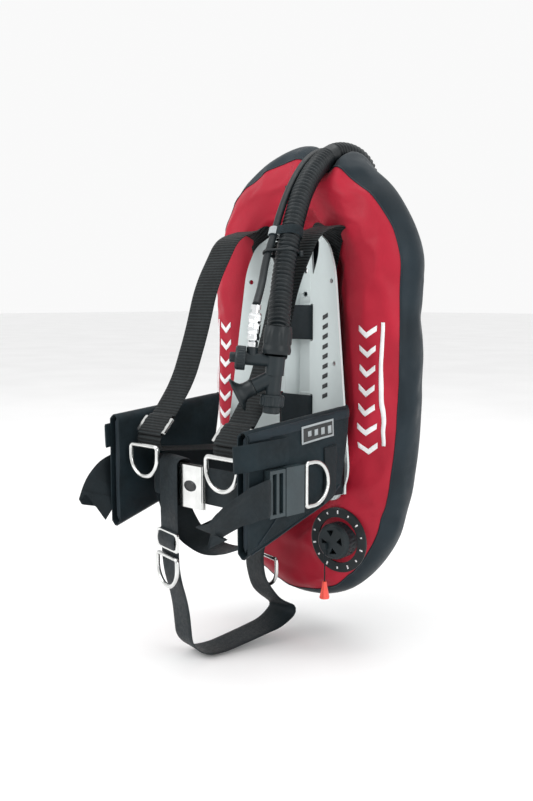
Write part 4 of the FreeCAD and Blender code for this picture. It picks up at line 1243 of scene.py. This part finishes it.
def cushion(name, stations, x, top, bottom, half, crown, look, body, hollow=0.0):
    """A cushion through sections along Y; with a wall thickness it is a bag, open at its first section."""
    first, last = stations[0], stations[-1]
    shares = [(y - first) / (last - first) for y in stations]
    rings = []
    for y, share in zip(stations, shares):
        closing = math.sqrt(max(0.0, 1 - max(0, (share - 0.93) / 0.07) ** 2))
        opening = 1 if hollow else math.sqrt(max(0.0, 1 - max(0, (0.03 - share) / 0.03) ** 2))
        full = half * max(0.14, closing * opening)
        swell = crown * math.sin(math.pi * min(1, max(0, share * 0.9 + 0.08))) ** 0.6
        rings.append(slab_ring(x, y, height_at(top, y), height_at(bottom, y), full, swell, 0.007))
    if hollow:
        inner = []
        for y, share, ring in zip(stations, shares, rings):
            middle = sum(ring, Vector()) / len(ring)
            tall = max(p.z for p in ring) - middle.z
            factor = (1 - hollow / max(half, 0.001), 1, 1 - hollow / max(tall, 0.004))
            inner.append([middle + Vector(a * b for a, b in zip(p - middle, factor)) for p in ring])
        rings = inner[:-2][::-1] + rings
    wide = len(rings[0])
    marks = [(ring[j].y + 0.4 * (j > wide / 2), ring[j].z) for ring in rings for j in range(wide)]
    piece = skinned(name, rings, marks=marks)
    finish_piece(piece, look, body, 50)
    return piece


def add_pockets():
    """Weight pocket on each side of the belt: sewn bag, pouch in it, trim, labels and straps."""
    for side, sign in SIDES.items():
        x = sign * POCKET_X
        shell_at = [-0.262 + 0.2 * t for t in station_shares()]
        shell = cushion(f"pocket_bag_{side}", shell_at, x, POCKET_TOP, POCKET_BOTTOM, 0.0095, 0.0022,
                        "pocket_nylon",
                        "root", hollow=0.0016)
        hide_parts(f"pocket_shell_{side}")
        pouch_at = [-0.258 + 0.189 * t for t in station_shares()]
        pouch = cushion(f"weight_bag_{side}", pouch_at, x, POUCH_TOP, POUCH_BOTTOM, 0.0074, 0.0008,
                        "black_nylon",
                        f"weight_pouch_{side}")
        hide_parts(f"weight_pouch_{side}")
        trim_pocket(side, sign, shell)
        add_pull_straps(side, sign)


def station_shares():
    return [0.5 - 0.5 * math.cos(math.pi * k / 40) for k in range(41)]


def trim_pocket(side, sign, shell):
    """Bindings, piped seams, label and stitching of a pocket's outer face."""
    target, view, cloth = surface_tree([shell]), SIDE_VIEWS[side], "black_fabric"
    edge = [(-0.2605, -0.067), (-0.160, -0.0585), (-0.066, -0.0505)]
    fold = [(-0.2605, -0.0775), (-0.160, -0.069), (-0.068, -0.0615)]
    band = edge + fold[::-1]
    draped(f"pocket_top_band_{side}", band, target, "black_nylon", view, 0.0006, 0.0011)
    piping(f"pocket_curved_seam_{side}", [(-0.2, -0.104), (-0.196, -0.135), (-0.206, -0.170),
                                          (-0.245, -0.206)], target, view,
           0.0011, "black_nylon")
    piping(f"pocket_lower_seam_{side}", [(-0.256, -0.2165), (-0.185, -0.194), (-0.114, -0.172),
                                         (-0.088, -0.152)], target, view,
           0.0013, "black_nylon")
    label = [(-0.168, -0.066), (-0.104, -0.0605), (-0.104, -0.0835), (-0.168, -0.089)]
    draped(f"pocket_label_{side}", label, target, "grey_print", view, 0.0014, 0.0009)
    face = [(-0.165, -0.0685), (-0.107, -0.0635), (-0.107, -0.081), (-0.165, -0.086)]
    draped(f"pocket_label_face_{side}", face, target, "black_print", view, 0.0021, 0.0004)
    for k in range(4):
        y = -0.157 + k * 0.0135
        bar = [(y, -0.0725 + k * 0.0011), (y + 0.007, -0.0719 + k * 0.0011), (y + 0.007, -0.0789),
               (y, -0.0795)]
        draped(f"pocket_label_bar_{side}_{k}", bar, target, "grey_print", view, 0.0026, 0.0003)
    strip = [(-0.1235, -0.098), (-0.0985, -0.096), (-0.0985, -0.166), (-0.1235, -0.174)]
    draped(f"pocket_ring_strip_{side}", strip, target, "smooth_webbing", view, 0.0012, 0.0018)
    rows = [[(-0.258, -0.0745), (-0.160, -0.066), (-0.070, -0.0588)],
            [(-0.122, -0.100), (-0.122, -0.171)], [(-0.100, -0.098), (-0.100, -0.165)],
            [(-0.122, -0.100), (-0.100, -0.098)],
            [(-0.256, -0.211), (-0.185, -0.1885), (-0.116, -0.167)],
            [(-0.167, -0.0675), (-0.105, -0.062)], [(-0.167, -0.0875), (-0.105, -0.082)]]
    stitches(f"pocket_stitching_{side}", rows, target, view)


PULL_TAILS = {
    "left": [(0.148, -0.229, -0.146), (0.1535, -0.241, -0.1465), (0.152, -0.262, -0.149),
             (0.145, -0.290, -0.158),
             (0.131, -0.316, -0.180), (0.1285, -0.315, -0.1815), (0.136, -0.300, -0.168)],
    "right": [(0.148, -0.229, -0.146), (0.1535, -0.239, -0.147), (0.156, -0.254, -0.154),
              (0.157, -0.269, -0.172),
              (0.155, -0.280, -0.196), (0.1522, -0.2795, -0.197), (0.154, -0.273, -0.180)],
}
TAIL_TWISTS = {"left": (0.0, 0.0, 0.2, 0.55, 0.9, 0.9, 0.7), "right": (0.0, 0.0, 0.2, 0.6, 0.9, 0.9, 0.6)}
GRAB_REACH = {"left": -0.288, "right": -0.270}


def add_pull_straps(side, sign):
    """The webbing tail that droops out of the release buckle to its folded end, and the narrow grab strap."""
    body = f"weight_pouch_{side}"
    tail = [(sign * x, y, z) for x, y, z in PULL_TAILS[side]]
    across = [(sign * 0.7 * twist, -0.6 * twist, 1) for twist in TAIL_TWISTS[side]]
    strap = webbing(f"pull_tail_{side}", tail, across, 0.048, "smooth_webbing", body,
                    reaches=[0.005, None, None, 0.001, 0.001], waves=0.0006)
    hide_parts(f"pull_straps_{side}")
    x = sign * 0.14425
    end = GRAB_REACH[side]
    grab = [(x, -0.196, -0.093), (x + sign * 0.002, -0.232, -0.093), (x, end + 0.020, -0.094),
            (x - sign * 0.005, end, -0.095)]
    strap = webbing(f"grab_strap_{side}", grab, Z_AXIS, 0.034, "pocket_nylon", body, waves=0.001)
    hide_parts(f"pull_straps_{side}")


# ---------------------------------------------------------------- hoses' ties, inflator and dump valve

HOSE_RISE = Vector((-0.19, 0.48, 0.857)).normalized()


def hull_line(large, small, wide, narrow, count=48):
    """The line of a strap drawn round two round hoses, in the plane square to them."""
    across = (small - large).normalized()
    over = HOSE_RISE.cross(across)
    gap = (small - large).length
    tilt = math.asin(max(-1, min(1, (wide - narrow) / gap)))
    turns = math.pi / 2 - tilt
    line = []
    for k in range(count + 1):
        angle = turns + (2 * math.pi - 2 * turns) * k / count
        line.append(large + (across * math.cos(angle) + over * math.sin(angle)) * wide)
    for k in range(count // 2 + 1):
        angle = -turns + 2 * turns * k / (count // 2)
        line.append(small + (across * math.cos(angle) + over * math.sin(angle)) * narrow)
    return line


def hose_tie(name, large, small, height, wall, look, node):
    """A strap round both hoses, with soft edges."""
    turns = [2 * math.pi * k / 12 for k in range(12)]
    section = [(0.5 + 0.5 * math.cos(t), 0.5 * math.copysign(abs(math.sin(t)) ** 0.35, math.sin(t)))
               for t in turns]
    loops = []
    for out, up in section:
        grown = out * wall + 0.0003
        outline = hull_line(large, small, 0.0151 + grown, 0.0052 + grown)
        loops.append([p + HOSE_RISE * up * height for p in outline])
    rings = [[loop[k] for loop in loops] for k in range(len(loops[0]))]
    marks = [(k * 0.002, j * 0.002) for k in range(len(rings)) for j in range(len(section))]
    tie = finish_piece(skinned(name, rings, closed=True, marks=marks), look, sharp=50)
    if node:
        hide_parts(node)
    return tie


def add_hose_ties():
    """The wide band near the shoulder with its pale tab, and the elastic loop with a knot."""
    large, small = Vector((0.0759, -0.1186, 0.184)), Vector((0.063, -0.1365, 0.186))
    hose_tie("hose_band_wrap", large, small, 0.014, 0.0013, "pocket_nylon", "hose_band")
    tab = [(0.0062, -0.0058), (0.0068, -0.0050), (0.0068, 0.0050), (0.0062, 0.0058), (0.0057, 0.0050),
           (0.0057, -0.0050)]
    place = Matrix.Translation(small) @ HOSE_RISE.to_track_quat("Z", "Y").to_matrix().to_4x4()
    lathe("hose_band_tab", [(r + 0.0012, h) for r, h in tab] + [(tab[0][0] + 0.0012, tab[0][1])], place,
          "grey_print")
    large, small = Vector((0.0819, -0.1329, 0.157)), Vector((0.0706, -0.1563, 0.159))
    hose_tie("elastic_tie", large, small, 0.0038, 0.0024, "rubber", "elastic_loop")
    knot = [(0.0004, -0.004), (0.0026, -0.0034), (0.0038, -0.001), (0.0032, 0.001), (0.0038, 0.003),
            (0.0022, 0.0044), (0.0004, 0.0046)]
    lathe("elastic_knot", knot, Matrix.Translation(large + Vector((0.0135, 0.0131, 0.0))), "rubber",
          sides=20, flutes=3,
          depth=0.001)


def inflator_frame(x, z, direction=Z_AXIS):
    """A frame on the inflator: x towards its mouthpiece, z up its body."""
    turn = Matrix.Rotation(math.radians(-136.2), 4, "Z") @ Matrix.Rotation(math.radians(-5), 4, "Y")
    local = Matrix.Translation((x, 0, z)) @ Z_AXIS.rotation_difference(direction).to_matrix().to_4x4()
    return Matrix.Translation(HOSE_ROUTE[-1]) @ turn @ local


def millimetres(profile):
    return [(r / 1000, h / 1000, *more) for r, h, *more in profile]


def add_inflator():
    """The inflator's grips, flared mouthpiece and fluted coupling."""
    cap = [(8.4, 0), (15, 0), (15.5, 1.5), (15.5, 2.2, 1), (15.5, 9.8, 1), (15.5, 10.4), (14.4, 12.4),
           (13.6, 13), (7, 13), (7, 10),
           (8.4, 10), (8.4, 0)]
    grip = lathe("inflate_grip", millimetres(cap), inflator_frame(0.0382, -0.006, X_AXIS), "plastic",
                 sides=120, flutes=24,
                 depth=0.0008)
    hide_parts("inflate_cap")
    collar = [(11.5, 0), (14, 0), (15.5, 2), (15.5, 2.6, 1), (15.5, 12.4, 1), (15.5, 13), (14, 15),
              (11.5, 15), (11.5, 0)]
    grip = lathe("deflate_grip", millimetres(collar), inflator_frame(0, -0.0643), "plastic", sides=120,
                 flutes=20,
                 depth=0.0008)
    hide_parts("deflate_collar")
    lip = [(7, 0), (10.5, 0), (11.2, 1.2), (11.2, 3), (10.5, 4), (10.5, 11, 0, 0.95), (11.5, 15, 0, 0.86),
           (15, 18.5, 0, 0.76),
           (20, 21.5, 0, 0.68), (22.4, 23, 0, 0.66), (22.6, 24.2, 0, 0.66), (21.8, 25, 0, 0.66),
           (19, 24, 0, 0.66),
           (13, 20, 0, 0.70), (9, 16, 0, 0.8), (7, 12, 0, 0.95), (7, 0)]
    place = inflator_frame(0.0245, -0.041, Vector((0.85, 0, -0.52)))
    mouth = lathe("mouthpiece_lip", millimetres(lip), place, "rubber",
                  sides=64, sharp=50)
    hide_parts("mouthpiece")
    sleeve = [(4.8, 0), (7.5, 0), (8, 3), (7.2, 6), (7.2, 8), (7.9, 9, 1), (7.9, 19, 1), (7.2, 20),
              (7.2, 22), (8.2, 24),
              (8.2, 25, 1), (8.2, 31, 1), (8.2, 32), (7, 34), (4.8, 34), (4.8, 0)]
    coupling = lathe("coupling_grip", millimetres(sleeve), inflator_frame(0.0305, 0.0178), "chrome",
                     "coupling_sleeve",
                     sides=96, flutes=24, depth=0.0005)
    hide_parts("hose_coupling_sleeve")
    cuff = [(15.4, 3), (17.5, 3), (18.5, 6), (18.5, 9), (17.5, 13), (17.5, 15), (18.2, 16, 1), (18.2, 30, 1),
            (17.6, 31),
            (17, 38), (15.4, 38), (15.4, 3)]
    cuff = lathe("hose_cuff_grip", millimetres(cuff), inflator_frame(0, 0), "rubber", sides=96, flutes=16,
                 depth=0.0008)
    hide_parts("hose_cuff")


def add_dump_valve():
    """Ribbed valve housing and the pale ticks on its flange ring."""
    place = Matrix.Translation(VALVE_AT) @ VALVE_OUT.to_track_quat("Z", "Y").to_matrix().to_4x4()
    housing = [(20, -8), (26, -8), (26, 0), (26, 0.6, 1), (26, 12.8, 1), (26, 13.4), (25.4, 14), (23, 14),
               (23, 0), (20, 0),
               (20, -8)]
    body = lathe("dump_valve_housing", millimetres(housing), place, "plastic", sides=144, flutes=24,
                 depth=0.0012)
    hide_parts("dump_valve_body")
    target = surface_tree([CAD["dump_valve_ring"]])
    for k in range(14):
        angle = 2 * math.pi * (k + 0.5) / 14
        long = 0.0052 if k % 2 else 0.0032
        out, side = Vector((math.cos(angle), math.sin(angle))), Vector((-math.sin(angle), math.cos(angle)))
        middle = Vector((VALVE_AT.x, VALVE_AT.z)) + out * 0.0405
        corners = ((-0.5, -1), (0.5, -1), (0.5, 1), (-0.5, 1))
        tick = [middle + out * a * long + side * b * 0.0011 for a, b in corners]
        draped(f"valve_ring_tick_{k}", [tuple(p) for p in tick], target, "white_print",
               lift=0.0003, thick=0.0003)


# ---------------------------------------------------------------- finishes of the kept pieces

LOOK_OF_SLOT = {
    "plate": "plate_metal",
    "red_fabric": "red_nylon",
    "black_fabric": "black_nylon",
    "webbing": "smooth_webbing",
    "steel": "steel",
    "chrome": "chrome",
    "black_plastic": "plastic",
    "black_rubber": "rubber",
    "bladder": "rubber",
    "red_plastic": "red_plastic",
}


def finish_kept_pieces():
    """Materials and worn edges for the hard pieces that the CAD model shows."""
    slots = {part["node"]: part["material_slot"] for part in frame["record"]["subparts"]}
    for name, piece in CAD.items():
        if piece.hide_render:
            continue
        look = LOOK_OF_SLOT[slots[name]]
        if name.startswith("release_buckle"):
            look = "grey_plastic"
        for place in piece.material_slots:
            place.material = LOOKS[look]
        if not any(word in name for word in ("spring", "ring", "cord")):
            add_modifier(piece, "BEVEL", width=0.0006, segments=2, limit_method="ANGLE",
                         angle_limit=math.radians(40))


def add_buckle_emblem():
    """A plain dark oval on the waist buckle's cover."""
    target = surface_tree([CAD["waist_buckle_cover"]])
    turns = [2 * math.pi * k / 40 for k in range(40)]
    for name, wide, look, lift in (("rim", 0.012, "dark_metal", 0.0002),
                                   ("face", 0.010, "black_print", 0.0005)):
        oval = [(0.0015 + wide * math.cos(t), BELT_Z - 0.002 + wide * 0.62 * math.sin(t)) for t in turns]
        draped(f"buckle_emblem_{name}", oval, target, look, lift=lift, thick=0.0004,
               body="waist_buckle_cover")


LOOKS = make_materials()
add_camera()
add_cords()
wing_front, wing_rear = add_wing()
add_wing_marks(wing_front)
add_backplate()
add_centre_panel()
add_shoulder_straps()
add_slider_loops()
add_waist_straps()
add_crotch_strap()
add_tank_bands()
add_pockets()
add_hose_ties()
add_inflator()
add_dump_valve()
add_buckle_emblem()
finish_kept_pieces()
add_floor()
add_light()
